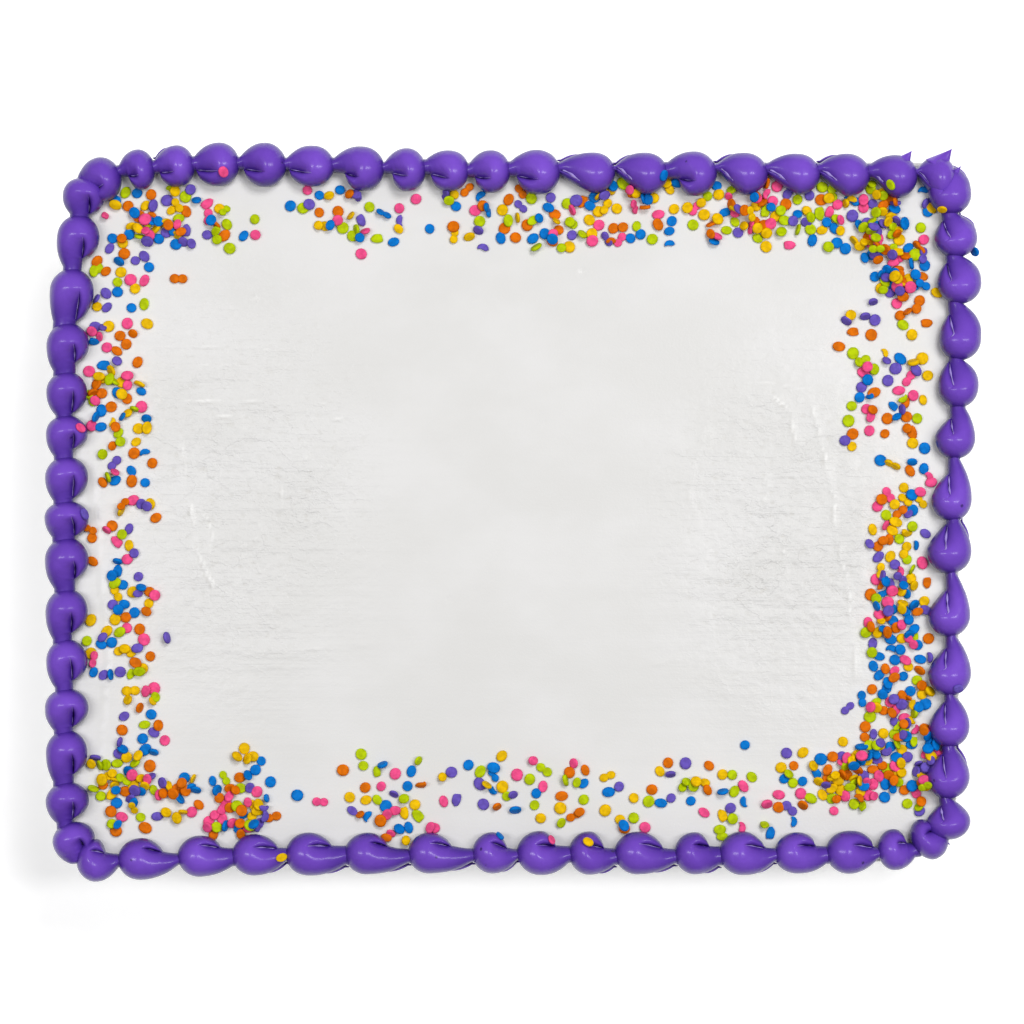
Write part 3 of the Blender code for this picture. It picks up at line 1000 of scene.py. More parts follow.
    def rippled(self, places: np.ndarray, draws: np.random.Generator) -> np.ndarray:
        """Push the vertices in and out a little, as soft icing flows unevenly.

        Args:
            places: Vertices of one shell.
            draws: Seeded draws.

        Returns:
            The moved vertices.
        """
        middle = places.mean(axis=0)
        away = places - middle
        away /= np.linalg.norm(away, axis=1)[:, None] + 1e-9
        waves = np.zeros(len(places))
        for wave in (3.0, 5.0, 8.0):
            direction = draws.normal(0.0, 1.0, 3)
            direction /= np.linalg.norm(direction)
            phase = draws.uniform(0, math.tau)
            waves += np.sin((places - middle) @ direction * wave / (10 * MM) + phase) / wave
        return places + away * (waves * 3.0 * self.ripple)[:, None]

    def add_tip(self, shell: Shell, base: np.ndarray, tip: np.ndarray, radius: float) -> None:
        """Add a drawn-out tip of icing, broad at its base and thin at its end.

        Args:
            shell: Shell to add it to.
            base: Middle of its base.
            tip: Its end.
            radius: Its radius at the base.
        """
        s = np.linspace(0.0, 1.0, self.tip_rings)
        start = base - (tip - base) * 0.35
        bent = np.array((0.0, 0.0, 1.0)) * np.linalg.norm(tip - base) * 0.16
        path = start + (tip - start) * s[:, None] + bent * (4 * s * (s - 1.0))[:, None]
        thick = radius * (1.0 - s) ** 1.1 * np.sqrt(np.minimum(s / 0.18, 1.0)) + 0.16 * MM * np.sin(np.pi * s)
        level = np.array((tip - base)[:2])
        level /= np.linalg.norm(level)
        places, faces = sweep(path, np.array((-level[1], level[0])), thick, thick, thick, 24)
        # A little painted shade on the tip.
        shell.add(places, faces, tone=0.6, fold=0.0, deep=0.15)


# The iced block


@dataclass
class IcedBlock:
    """The cake's white icing: the smoothed top, the walls and the underside.

    Args:
        step: Spacing of the mesh on the top.
        edge: Radius of the top edge.
        foot: Radius of the bottom edge.
        wall_rows: Rows of faces on the straight of a wall.
        wall_worked: How strongly the spatula's marks show on the walls.
        ridge_growth: How many times the listed ridge heights are built.
        ridge_width: Half width of a built ridge, as a share of the listed one.
        full_ridge: Listed height in mm at which a ridge has its full painted highlight and shade.
        lee: How far from a ridge the side with painted shade lies, each way.
        undulation: Height of the slow rise and fall of the top.
        streaks: Height of the spatula's fine streaks.
        scrapes: Height of the patches that the spatula left standing.
        crumples: Height of the crumpled icing.
        wall_waves: Height of the slow waves of the walls.
        wall_streaks: Height of the streaks along the walls.
    """

    step: float = 1.32 * MM
    edge: float = 3.0 * MM
    foot: float = 1.5 * MM
    wall_rows: int = 22
    wall_worked: float = 0.28
    ridge_growth: float = 2.0
    ridge_width: float = 0.8
    full_ridge: float = 0.30
    lee: float = 1.1 * MM
    undulation: float = 0.16 * MM
    streaks: float = 0.26 * MM
    scrapes: float = 0.42 * MM
    crumples: float = 0.18 * MM
    wall_waves: float = 0.55 * MM
    wall_streaks: float = 0.22 * MM
    broad: LatticeNoise = field(default_factory=lambda: LatticeNoise(31))
    medium: LatticeNoise = field(default_factory=lambda: LatticeNoise(32))
    streak: LatticeNoise = field(default_factory=lambda: LatticeNoise(33, 256))
    # Pits left by air bubbles: x, y, radius and depth, in mm
    pits: tuple = ((31, 105, 1.3, 0.5), (-113, 93, 1.5, 0.5), (-131.5, 14, 1.4, 0.5), (-28, -38.5, 1.0, 0.35),
                   (-101, -47, 1.1, 0.3), (72, -20, 0.9, 0.3), (15, 38, 0.8, 0.25))
    # Ridges and torn edges left by the spatula: points in mm, half width and height in mm
    ridges: tuple = (
        (((-166, 73), (-120, 72), (-84, 71)), 0.7, 0.22), (((-140, 65), (-80, 64)), 0.6, 0.20),
        (((-162, 49), (-120, 49), (-74, 48)), 0.8, 0.30), (((-132, 42), (-70, 41)), 0.7, 0.28),
        (((-165, 35), (-96, 35)), 0.8, 0.16), (((-144, 32), (-141, 5), (-137, -17), (-129, -37)), 1.0, 0.36),
        (((-86, 31), (-92, 20), (-101, 12), (-101, 1), (-109, -4), (-110, -10), (-117, -15), (-115, -20),
          (-134, -22)), 0.8, 0.36),
        (((-136, 4), (-131, -10), (-133, -22)), 0.9, 0.24), (((-108, -34), (-98, -48)), 0.8, 0.20),
        (((130, 54), (135, 36), (137, 25), (141, 7), (143, -12), (147, -30), (150, -56), (151, -76)),
         0.8, 0.40),
        (((111, 53), (119, 47), (124, 36), (126, 28)), 0.9, 0.34),
        (((100, 57), (120, 56.5), (131, 52)), 0.7, 0.28),
        (((91, 8), (118, 5), (141, 4)), 0.7, 0.24), (((87, 43), (80, 25), (78, 9), (82, -8)), 1.1, 0.18),
        (((119, -14), (119, -24)), 0.8, 0.30), (((104, 26), (112, 12), (110, -4)), 0.9, 0.20),
        (((96, -52), (128, -50)), 0.8, 0.16), (((-184, 20), (-177, -60), (-181, -110)), 0.8, -0.35),
        (((58, -66), (128, -61)), 0.9, 0.14), (((-122, -62), (-60, -58)), 1.0, 0.14))

    def worked(self, x: np.ndarray, y: np.ndarray) -> np.ndarray:
        """Work out how strongly the spatula's marks show.

        Args:
            x: Plan points along the length.
            y: Plan points along the width.

        Returns:
            Strengths of 0 to 1.
        """
        left = np.exp(-(((x / MM + 118) / 52) ** 2 + ((y / MM - 12) / 82) ** 2) ** 1.5)
        right = np.exp(-(((x / MM - 120) / 50) ** 2 + ((y / MM + 8) / 78) ** 2) ** 1.5)
        uneven = 0.75 + 0.25 * self.medium.at(x / (22 * MM) + 7, y / (15 * MM))
        return np.clip((left + right) * uneven, 0.0, 1.0)

    def relief(self, x: np.ndarray, y: np.ndarray) -> np.ndarray:
        """Work out the height of the top icing above its mean level.

        Args:
            x: Plan points along the length.
            y: Plan points along the width.

        Returns:
            The heights.
        """
        mark = self.worked(x, y)
        lean = y + 0.03 * x + 1.5 * MM * self.medium.at(x / (60 * MM), y / (40 * MM))
        height = self.undulation * self.broad.at(x / (95 * MM) + 3, y / (70 * MM))
        height = height + 0.35 * self.undulation * self.medium.at(x / (30 * MM), y / (18 * MM) + 9)
        streak = self.streak.at(x / (60 * MM), lean / (2.6 * MM))
        height = height + self.streaks * (0.08 + 0.92 * mark) * streak
        crumple = (self.broad.at(x / (3.4 * MM), y / (2.8 * MM))
                   + 0.6 * self.streak.at(x / (1.9 * MM), y / (1.7 * MM)))
        height = height + self.crumples * mark * crumple
        torn = smoothstep((self.medium.at(x / (26 * MM) + 40, y / (17 * MM) + 11) - 0.15) / 0.22)
        height = height + self.scrapes * mark * torn
        height = height + self.ridge_growth * MM * self.ridge_height(x, y)
        for x0, y0, radius, depth in self.pits:
            away = np.hypot(x / MM - x0, y / MM - y0) / radius
            brim = np.exp(-((away - 1.3) / 0.35) ** 2)
            height = height - depth * MM * np.exp(-away ** 4) + 0.3 * depth * MM * brim
        return height

    def ridge_height(self, x: np.ndarray, y: np.ndarray) -> np.ndarray:
        """Work out the listed height of the ridges and torn edges.

        Args:
            x: Plan points along the length.
            y: Plan points along the width.

        Returns:
            The heights, in mm.
        """
        total = np.zeros_like(x)
        wander = 0.9 * self.medium.at(x / (5 * MM) + 3, y / (5 * MM))
        broken = 0.65 + 0.5 * self.medium.at(x / (7 * MM), y / (7 * MM) + 21)
        for points, half, rise in self.ridges:
            risen = np.zeros_like(x)
            for number, ((x0, y0), (x1, y1)) in enumerate(zip(points, points[1:])):
                reach = np.array((x1 - x0, y1 - y0), float)
                span = float(np.hypot(*reach))
                share = ((x / MM - x0) * reach[0] + (y / MM - y0) * reach[1]) / span ** 2
                near = np.clip(share, 0.0, 1.0)
                off = np.hypot(x / MM - x0 - near * reach[0] + wander, y / MM - y0 - near * reach[1] + wander)
                uneven = broken
                if number == 0:
                    uneven = uneven * smoothstep(share * span / 8.0 + 0.2)
                if number == len(points) - 2:
                    uneven = uneven * smoothstep((1.0 - share) * span / 8.0 + 0.2)
                risen = np.maximum(risen, uneven * np.exp(-(off / (self.ridge_width * half)) ** 2))
            total = total + rise * risen
        return total

    def outline(self, x: np.ndarray, y: np.ndarray) -> tuple[np.ndarray, np.ndarray, np.ndarray]:
        """Bend a rectangle's points to the rounded outline, inset by the top edge's radius.

        Args:
            x: Points along the length.
            y: Points along the width.

        Returns:
            The bent points, and the outward direction of each.
        """
        half = np.array((CAKE_LENGTH / 2 - self.edge, CAKE_WIDTH / 2 - self.edge))
        radius = np.where(np.sign(x) == np.sign(y), TIGHT_CORNER_RADIUS, WIDE_CORNER_RADIUS) - self.edge
        over = np.stack([np.abs(x) - (half[0] - radius), np.abs(y) - (half[1] - radius)], axis=-1)
        inside = (over > 0).all(axis=-1)
        far = np.maximum(np.hypot(over[..., 0], over[..., 1]), 1e-9)
        scale = np.where(inside, over.max(axis=-1) / far, 1.0)
        out_x = np.where(inside, half[0] - radius + over[..., 0] * scale, np.abs(x)) * np.sign(x)
        out_y = np.where(inside, half[1] - radius + over[..., 1] * scale, np.abs(y)) * np.sign(y)
        corner = np.where(inside[..., None], over / far[..., None], 0.0)
        wide = over[..., 0] + radius - half[0] >= over[..., 1] + radius - half[1]
        flat = np.stack([np.where(wide, 1.0, 0.0), np.where(wide, 0.0, 1.0)], axis=-1)
        away = np.where(inside[..., None], corner, flat) * np.stack([np.sign(x), np.sign(y)], axis=-1)
        return out_x, out_y, away

    def build(self, material: bpy.types.Material) -> bpy.types.Object:
        """Make the icing.

        Args:
            material: Its finish.

        Returns:
            The piece that stands for the iced block.
        """
        half = (CAKE_LENGTH / 2 - self.edge, CAKE_WIDTH / 2 - self.edge)
        columns, rows = [2 * round(reach / self.step) for reach in half]
        grid_x, grid_y = np.meshgrid(np.linspace(-half[0], half[0], columns + 1) + 1e-9,
                                     np.linspace(-half[1], half[1], rows + 1) + 1e-9, indexing="ij")
        x, y, away = self.outline(grid_x, grid_y)
        top = np.column_stack([x.ravel(), y.ravel(), CAKE_HEIGHT + self.relief(x, y).ravel()])
        number = np.arange(top.shape[0]).reshape(columns + 1, rows + 1)
        faces = np.stack([number[:-1, :-1], number[1:, :-1], number[1:, 1:], number[:-1, 1:]],
                         axis=-1).reshape(-1, 4).tolist()
        rim = np.concatenate([number[:-1, 0], number[-1, :-1], number[:0:-1, -1], number[0, :0:-1]])
        rim_away = self.square_to_walls(away.reshape(-1, 2)[rim], columns, rows)
        along = np.concatenate([[0.0], np.cumsum(np.linalg.norm(np.diff(top[rim, :2], axis=0), axis=1))])
        places, flows = [top], [top[:, :2]]
        before, count = rim, len(top)
        for out, level, share in self.wall_profile():
            waves = (self.wall_waves * self.broad.at(along / (70 * MM), level / (45 * MM) + 5)
                     + self.wall_streaks * self.streak.at(along / (55 * MM), level / (2.6 * MM)))
            push = out + waves * math.sin(math.pi * min(max(share, 0.0), 1.0)) ** 0.4
            fallen = np.full(len(rim), level) + (top[rim, 2] - CAKE_HEIGHT) * (1.0 - share) ** 4
            places.append(np.column_stack([top[rim, :2] + rim_away * push[:, None], fallen]))
            flows.append(np.column_stack([along, np.full(len(rim), level + 0.5)]))
            now = np.arange(count, count + len(rim))
            faces.extend(np.column_stack([np.roll(before, -1), before, now, np.roll(now, -1)]).tolist())
            before, count = now, count + len(rim)
        faces.append(before[::-1].tolist())
        mesh = bpy.data.meshes.new("icing_white")
        mesh.from_pydata(np.vstack(places).tolist(), [], faces)
        walls = np.zeros(count - len(top))
        give(mesh, "worked", "FLOAT", np.concatenate([self.worked(x, y).ravel(), walls + self.wall_worked]))
        # Masks for the painted highlight along the top of each ridge and for the painted shade on its side
        # away from the light.
        for name, shift in (("crest", 0.0), ("lee", self.lee)):
            height = self.ridge_height(x + shift, y + shift).ravel() / self.full_ridge
            give(mesh, name, "FLOAT", np.concatenate([height, walls]))
        give(mesh, "flow", "FLOAT_VECTOR", np.column_stack([np.vstack(flows), np.zeros(count)]))
        mesh.polygons.foreach_set("use_smooth", [True] * (len(mesh.polygons) - 1) + [False])
        mesh.materials.append(material)
        mesh.update()
        return linked("icing_white", mesh)

    def square_to_walls(self, away: np.ndarray, columns: int, rows: int) -> np.ndarray:
        """Set the outward directions along the straight walls exactly square to them.

        Args:
            away: Outward direction at each rim vertex, anticlockwise from the front left corner.
            columns: Faces along the length.
            rows: Faces along the width.

        Returns:
            The same directions, mended.
        """
        for part, direction in ((slice(0, columns), (0, -1)), (slice(columns, columns + rows), (1, 0)),
                                (slice(columns + rows, 2 * columns + rows), (0, 1)),
                                (slice(2 * columns + rows, None), (-1, 0))):
            straight = np.abs(away[part]).max(axis=1) > 0.9999
            away[part][straight] = direction
        return away

    def wall_profile(self) -> list[tuple[float, float, float]]:
        """List the rings of the wall, from the top edge down.

        Returns:
            Each ring's push outwards from the rim, its level and its share of the way down.
        """
        turn = [math.radians(angle) for angle in (22.5, 45, 67.5, 90)]
        rows = [(self.edge * math.sin(a), CAKE_HEIGHT - self.edge * (1 - math.cos(a)), 0.0) for a in turn]
        top, bottom = CAKE_HEIGHT - self.edge, self.foot
        for row in range(1, self.wall_rows):
            share = row / self.wall_rows
            rows.append((self.edge, top + (bottom - top) * share, share))
        for angle in (0.0, 0.4, 0.8, 1.2, math.pi / 2):
            inset, level = self.foot * (1 - math.cos(angle)), self.foot * (1 - math.sin(angle))
            rows.append((self.edge - inset, level, 1.0))
        return rows


# Confetti


@dataclass
class Sprinkle:
    """One confetti sprinkle as it came to rest.

    Args:
        place: Its middle.
        up: The way its flat face looks.
        spin: Turn about that direction.
        stretch: Size along each of its own axes, as a share.
        shape: Number of its shape.
        sugar: Its colour.
    """

    place: Vector
    up: Vector
    spin: float
    stretch: tuple
    shape: int
    sugar: Sugar


class Shape(Enum):
    """Shapes of confetti, numbered in the order of their names in the collection."""

    ROUND = 0
    OVAL = 1
    BROKEN = 2
    PAIR = 3
    LUMP = 4


class Pile:
    """Height of the icing and of the sprinkles on it, on a grid in plan."""

    def __init__(self, block: IcedBlock, cell: float, margin: int = 40) -> None:
        """Start with the bare icing.

        Args:
            block: The iced block.
            cell: Size of a cell.
            margin: How many cells the grid has more than the cake, each way.
        """
        self.cell = cell
        self.size = [int(side / cell) + margin for side in (CAKE_LENGTH, CAKE_WIDTH)]
        self.axes = [(np.arange(count) - count / 2) * cell for count in self.size]
        self.heights = CAKE_HEIGHT + block.relief(*np.meshgrid(*self.axes, indexing="ij"))
        self.bare = self.heights.copy()

    def under(self, x: float, y: float, reach: float) -> tuple[np.ndarray, ...]:
        """Look at the pile under a disc.

        Args:
            x: Its middle along the length.
            y: Its middle along the width.
            reach: Its radius.

        Returns:
            The cells' plan places from the middle, which of them the disc covers, and their heights, as a
            view that can be written to.
        """
        cells = [slice(*[int((middle + way * reach) / self.cell + count / 2) + (way > 0) for way in (-1, 1)])
                 for middle, count in zip((x, y), self.size)]
        under_x, under_y = np.meshgrid(self.axes[0][cells[0]] - x, self.axes[1][cells[1]] - y, indexing="ij")
        return under_x, under_y, np.hypot(under_x, under_y) < reach, self.heights[cells[0], cells[1]]

    def growth(self) -> float:
        """How much the pile has grown where it has grown most."""
        return float((self.heights - self.bare).max())


def bead_under(border: BVHTree, x: float, y: float) -> tuple | None:
    """Place and normal at which a line straight down meets the border's beads, or None."""
    hit = border.ray_cast(Vector((x, y, CAKE_HEIGHT + 50 * MM)), Vector((0.0, 0.0, -1.0)))
    return hit if hit[0] is not None and hit[0].z > CAKE_HEIGHT + 0.6 * MM else None


@dataclass
class Confetti:
    """The confetti sprinkles: where they fell, how they lie, and their meshes.

    Args:
        drifts: Middle x and y, half length, half width and count of each drift, in mm.
        lone: Sprinkles that lie alone: x and y in mm, and colour.
        landed: Sprinkles on or against the border: x and y in mm, colour, and lean in degrees.
        leanings: Places where one colour fell more often: x and y in mm, colour, and reach in mm.
        shares: How often each colour comes.
        shape_shares: How often each shape comes.
        cell: Size of the pile's cells.
        colour_seed: Seed of the colours and of how the sprinkles lie.
        sides: Corners of a round sprinkle.
        clearance: How near to a bead a sprinkle may fall.
        slide: How far it slides off a bead at a time.
        slides: How many times it may slide.
        growth: Least and greatest size of the fallen sprinkle, as a share.
        sizes: Least and greatest size of its mesh, as a share.
        steepest: Slope that a sprinkle can lie on.
        felt_slope: Slope from which more of them stand up.
        standing: Share that stands up on the level and on a slope.
        standing_tilt: Least and greatest tilt of one that stands up, in radians.
        wobble: Spread of the tilt of one that lies flat.
    """

    drifts: tuple
    lone: tuple
    landed: tuple
    leanings: tuple
    shares: dict
    shape_shares: tuple = (0.56, 0.30, 0.04, 0.05, 0.05)
    cell: float = 0.4 * MM
    colour_seed: int = 11
    sides: int = 12
    clearance: float = 1.3 * MM
    slide: float = 0.7 * MM
    slides: int = 40
    growth: tuple = (0.90, 1.10)
    sizes: tuple = (0.96, 1.10)
    steepest: float = 0.75
    felt_slope: float = 0.12
    standing: tuple = (0.13, 0.32)
    standing_tilt: tuple = (0.60, 1.35)
    wobble: float = 0.05

    def spots(self) -> list[tuple[float, float]]:
        """Place all the sprinkles on the top in plan, by the rule that the solids follow.

        Returns:
            The plan points.
        """
        rng = np.random.default_rng(QUIN_SEED)
        places = [np.array(spot[:2]) * MM for spot in self.lone]
        for x, y, half_length, half_width, count in self.drifts:
            for _ in range(count):
                draws = rng.uniform(-1.0, 1.0, (QUIN_DRAWS, 2)) + rng.normal(0.0, DRIFT_BLUR, (QUIN_DRAWS, 2))
                spots = (np.array((x, y)) + draws * np.array((half_length, half_width))) * MM
                known = np.array(places)
                room = [np.min(np.linalg.norm(known - spot, axis=1)) for spot in spots]
                places.append(spots[int(np.argmax(room))])
        return [(float(x), float(y)) for x, y in places]

    def pick_colour(self, x: float, y: float, rng: np.random.Generator) -> Sugar:
        """Draw a colour, with the leaning of the place.

        Args:
            x: Plan point along the length.
            y: Plan point along the width.
            rng: Seeded draws.

        Returns:
            The colour.
        """
        names = list(self.shares)
        weights = np.array([self.shares[name] for name in names])
        for mark_x, mark_y, sugar, reach in self.leanings:
            nearness = math.exp(-((x / MM - mark_x) ** 2 + (y / MM - mark_y) ** 2) / reach ** 2)
            weights[names.index(sugar)] *= 1.0 + 1.3 * nearness
        return names[int(rng.choice(len(names), p=weights / weights.sum()))]

    def settle(self, block: IcedBlock, border: BVHTree) -> list[Sprinkle]:
        """Drop the sprinkles one after another, each lying on what is below it.

        Args:
            block: The iced block, for the height of its top.
            border: The piped beads, which they land against.

        Returns:
            The sprinkles at rest.
        """
        rng = np.random.default_rng(self.colour_seed)
        pile = Pile(block, self.cell)
        made = []
        for number, spot in enumerate(self.spots()):
            x, y = self.slid_off(*spot, border)
            sugar = self.lone[number][2] if number < len(self.lone) else self.pick_colour(x, y, rng)
            sprinkle = self.dropped(pile, x, y, sugar, rng)
            if sprinkle is not None:
                made.append(sprinkle)
        made.extend([self.landed_on(border, *mark, rng) for mark in self.landed])
        LOG.info("%d sprinkles, the highest %.1f mm above the icing", len(made), pile.growth() / MM)
        return made

    def slid_off(self, x: float, y: float, border: BVHTree) -> tuple[float, float]:
        """Move a plan point inwards until it is clear of the beads.

        Args:
            x: Plan point along the length.
            y: Plan point along the width.
            border: The piped beads.

        Returns:
            The moved point.
        """
        if abs(x) / CAKE_LENGTH > abs(y) / CAKE_WIDTH:
            toward = (-math.copysign(1.0, x), 0.0)
        else:
            toward = (0.0, -math.copysign(1.0, y))
        for _ in range(self.slides):
            if not bead_under(border, x - toward[0] * self.clearance, y - toward[1] * self.clearance):
                break
            x, y = x + toward[0] * self.slide, y + toward[1] * self.slide
        return x, y

    def dropped(self, pile: Pile, x: float, y: float, sugar: Sugar,
                rng: np.random.Generator) -> Sprinkle | None:
        """Drop one sprinkle on the pile, where it lies flat or stands up.

        Args:
            pile: The pile, which grows by it.
            x: Its middle along the length.
            y: Its middle along the width.
            sugar: Its colour.
            rng: Seeded draws.

        Returns:
            The sprinkle, or None where it misses the pile's grid.
        """
        shape = Shape(int(rng.choice(len(Shape), p=self.shape_shares)))
        grow = rng.uniform(*self.growth)
        reach = QUIN_RADIUS * grow
        under_x, under_y, disc, below = pile.under(x, y, reach)
        if not disc.any():
            return None
        table = np.column_stack([under_x[disc], under_y[disc], np.ones(disc.sum())])
        slope, *_ = np.linalg.lstsq(table, below[disc], rcond=None)
        steep = math.hypot(slope[0], slope[1])
        if steep > self.steepest:
            slope[:2] *= self.steepest / steep
        lean = rng.normal(0.0, self.wobble, 2)
        if rng.uniform() < self.standing[int(steep > self.felt_slope)]:
            bearing = rng.uniform(0.0, math.tau)
            tilt = rng.uniform(*self.standing_tilt)
            up = Vector((math.sin(tilt) * math.cos(bearing), math.sin(tilt) * math.sin(bearing),
                         math.cos(tilt)))
            rest = float(np.percentile(below[disc], 40)) + reach * math.sin(tilt) * 0.86
            place = Vector((x, y, rest))
            beside = np.abs(under_x * math.cos(bearing) + under_y * math.sin(bearing))
            here = disc & (beside < QUIN_THICKNESS)
            below[here] = np.maximum(below[here], rest + reach * 0.4)
        else:
            slope[:2] += lean
            plane = under_x * slope[0] + under_y * slope[1]
            contact = float(np.percentile((below - plane)[disc], 96))
            up = Vector((-slope[0], -slope[1], 1.0)).normalized()
            place = Vector((x, y, contact + 0.40 * QUIN_THICKNESS))
            below[disc] = np.maximum(below[disc], (contact + 0.9 * QUIN_THICKNESS + plane)[disc])
        return Sprinkle(place, up, rng.uniform(0.0, math.tau), self.proportions(shape, grow, rng),
                        shape.value, sugar)

    def landed_on(self, border: BVHTree, x: float, y: float, sugar: Sugar, lean: float,
                  rng: np.random.Generator) -> Sprinkle:
        """Lay one sprinkle on or against the border.

        Args:
            border: The piped beads.
            x: Its middle along the length, in mm.
            y: Its middle along the width, in mm.
            sugar: Its colour.
            lean: How far its flat face turns inwards, in degrees.
            rng: Seeded draws.

        Returns:
            The sprinkle.
        """
        hit = bead_under(border, x * MM, y * MM)
        place = hit[0] if hit else Vector((x * MM, y * MM, CAKE_HEIGHT + 0.5 * MM))
        up = hit[1] if hit else Vector((0.0, 0.0, 1.0))
        if up.z < 0.0:
            up = -up
        if lean:
            sideways = Vector((x, y, 0.0)).normalized().cross(Vector((0, 0, 1)))
            up = (Matrix.Rotation(math.radians(lean), 3, sideways) @ up).normalized()
            place = place + Vector((0.0, 0.0, QUIN_RADIUS * math.sin(math.radians(lean)) * 0.7))
        return Sprinkle(place + up * 0.30 * QUIN_THICKNESS, up, rng.uniform(0.0, math.tau),
                        self.proportions(Shape.OVAL, 1.0, rng), Shape.OVAL.value, sugar)

    def proportions(self, shape: Shape, grow: float, rng: np.random.Generator) -> tuple[float, float, float]:
        """Draw how a sprinkle is stretched.

        Args:
            shape: Its shape.
            grow: Its size, as a share.
            rng: Seeded draws.

        Returns:
            Its size along each of its own axes, as a share.
        """
        oval = {Shape.ROUND: 0.05, Shape.OVAL: 0.24, Shape.BROKEN: 0.10, Shape.PAIR: 0.12,
                Shape.LUMP: 0.15}[shape]
        return (grow * (1.0 + 0.35 * oval), grow * (1.0 - rng.uniform(0.4, 1.0) * oval),
                grow * rng.uniform(0.85, 1.2))

    def outline_of(self, shape: Shape) -> list[list[tuple[float, float]]]:
        """Draw a shape in plan.

        Args:
            shape: The shape.

        Returns:
            Its outlines, in sprinkle radii: a pair has two.
        """
        turns = [k * math.tau / self.sides for k in range(self.sides)]
        circle = [(math.cos(a), math.sin(a)) for a in turns]
        if shape is Shape.BROKEN:
            return [[(x, max(y, -0.18 + 0.10 * math.sin(9 * x))) for x, y in circle]]
        if shape is Shape.PAIR:
            return [[(0.82 * x - 0.62, 0.86 * y) for x, y in circle],
                    [(0.80 * x + 0.66, 0.82 * y + 0.12) for x, y in circle]]
        if shape is Shape.LUMP:
            return [[(x * (1.05 + 0.16 * math.sin(3 * a + 1)), y * (1.0 + 0.12 * math.cos(2 * a)))
                     for (x, y), a in zip(circle, turns)]]
        return [circle]

    def shape_mesh(self, shape: Shape, collection: bpy.types.Collection) -> bpy.types.Object:
        """Make one shape as a pillow-like disc of a radius of 1.

        Args:
            shape: The shape.
            collection: Collection that gets it.

        Returns:
            Its object.
        """
        shell = Shell()
        half = QUIN_THICKNESS / QUIN_RADIUS / 2
        for outline in self.outline_of(shape):
            flat = np.array(outline)
            middle = flat.mean(axis=0)
            levels = ((0.86, -0.90), (1.0, -0.35), (1.0, 0.45), (0.90, 0.92), (0.66, 1.0))
            rings = [np.column_stack([middle + (flat - middle) * share, np.full(len(flat), half * level)])
                     for share, level in levels]
            places = np.vstack([*rings, [[*middle, half * 1.02]]])
            count = len(flat)
            last = len(levels) - 1
            faces = [[ring * count + k, ring * count + (k + 1) % count, (ring + 1) * count + (k + 1) % count,
                      (ring + 1) * count + k] for ring in range(last) for k in range(count)]
            faces += [[last * count + k, last * count + (k + 1) % count, (last + 1) * count]
                      for k in range(count)]
            faces.append(list(range(count))[::-1])
            shell.add(places, faces)
        name = f"shape_{shape.value}_{shape.name.lower()}"
        mesh = bpy.data.meshes.new(name)
        mesh.from_pydata(np.vstack(shell.places).tolist(), [], shell.faces)
        made = bpy.data.objects.new(name, mesh)
        collection.objects.link(made)
        return made

    def tree(self) -> bpy.types.NodeTree:
        """Make the geometry nodes that put a turned and stretched shape on every point.

        Returns:
            The node tree.
        """
        tree = bpy.data.node_groups.new("confetti_on_points", "GeometryNodeTree")
        for name, kind in (("Points", "NodeSocketGeometry"), ("Shapes", "NodeSocketCollection"),
                           ("Radius", "NodeSocketFloat"), ("Least Size", "NodeSocketFloat"),
                           ("Greatest Size", "NodeSocketFloat"), ("Seed", "NodeSocketInt"),
                           ("Finish", "NodeSocketMaterial")):
            tree.interface.new_socket(name, in_out="INPUT", socket_type=kind)
        tree.interface.new_socket("Confetti", in_out="OUTPUT", socket_type="NodeSocketGeometry")
        made: dict[str, bpy.types.Node] = {}

        def add(key: str, kind: str, settings: dict | None = None, inputs: dict | None = None) -> None:
            """Add a node.

            Args:
                key: Key that later nodes know it by.
                kind: Its type.
                settings: Its own settings, set before its sockets.
                inputs: Values of its sockets, or links to them, each a key and an output.
            """
            node = tree.nodes.new(kind)
            made[key] = node
            for name, value in (settings or {}).items():
                setattr(node, name, value)
            for name, value in (inputs or {}).items():
                if isinstance(value, tuple) and isinstance(value[0], str):
                    tree.links.new(made[value[0]].outputs[value[1]], node.inputs[name])
                else:
                    node.inputs[name].default_value = value

        add("in", "NodeGroupInput")
        for name, kind in (("turn", "FLOAT_VECTOR"), ("stretch", "FLOAT_VECTOR"), ("shape", "INT")):
            add(name, "GeometryNodeInputNamedAttribute", {"data_type": kind}, {"Name": name})
        add("shapes", "GeometryNodeCollectionInfo", None,
            {"Collection": ("in", "Shapes"), "Separate Children": True, "Reset Children": True})
        add("spread", "FunctionNodeRandomValue", {"data_type": "FLOAT"},
            {2: ("in", "Least Size"), 3: ("in", "Greatest Size"), "Seed": ("in", "Seed")})
        add("size", "ShaderNodeMath", {"operation": "MULTIPLY"}, {0: ("spread", 1), 1: ("in", "Radius")})
        add("scale", "ShaderNodeVectorMath", {"operation": "SCALE"},
            {0: ("stretch", "Attribute"), "Scale": ("size", 0)})
        add("place", "GeometryNodeInstanceOnPoints", None,
            {"Points": ("in", "Points"), "Instance": ("shapes", 0), "Pick Instance": True,
             "Instance Index": ("shape", "Attribute"), "Rotation": ("turn", "Attribute"),
             "Scale": ("scale", 0)})
        add("realize", "GeometryNodeRealizeInstances", None, {"Geometry": ("place", 0)})
        add("smooth", "GeometryNodeSetShadeSmooth", None, {"Geometry": ("realize", 0)})
        add("finish", "GeometryNodeSetMaterial", None,
            {"Geometry": ("smooth", 0), "Material": ("in", "Finish")})
        add("out", "NodeGroupOutput", None, {"Confetti": ("finish", 0)})
        return tree

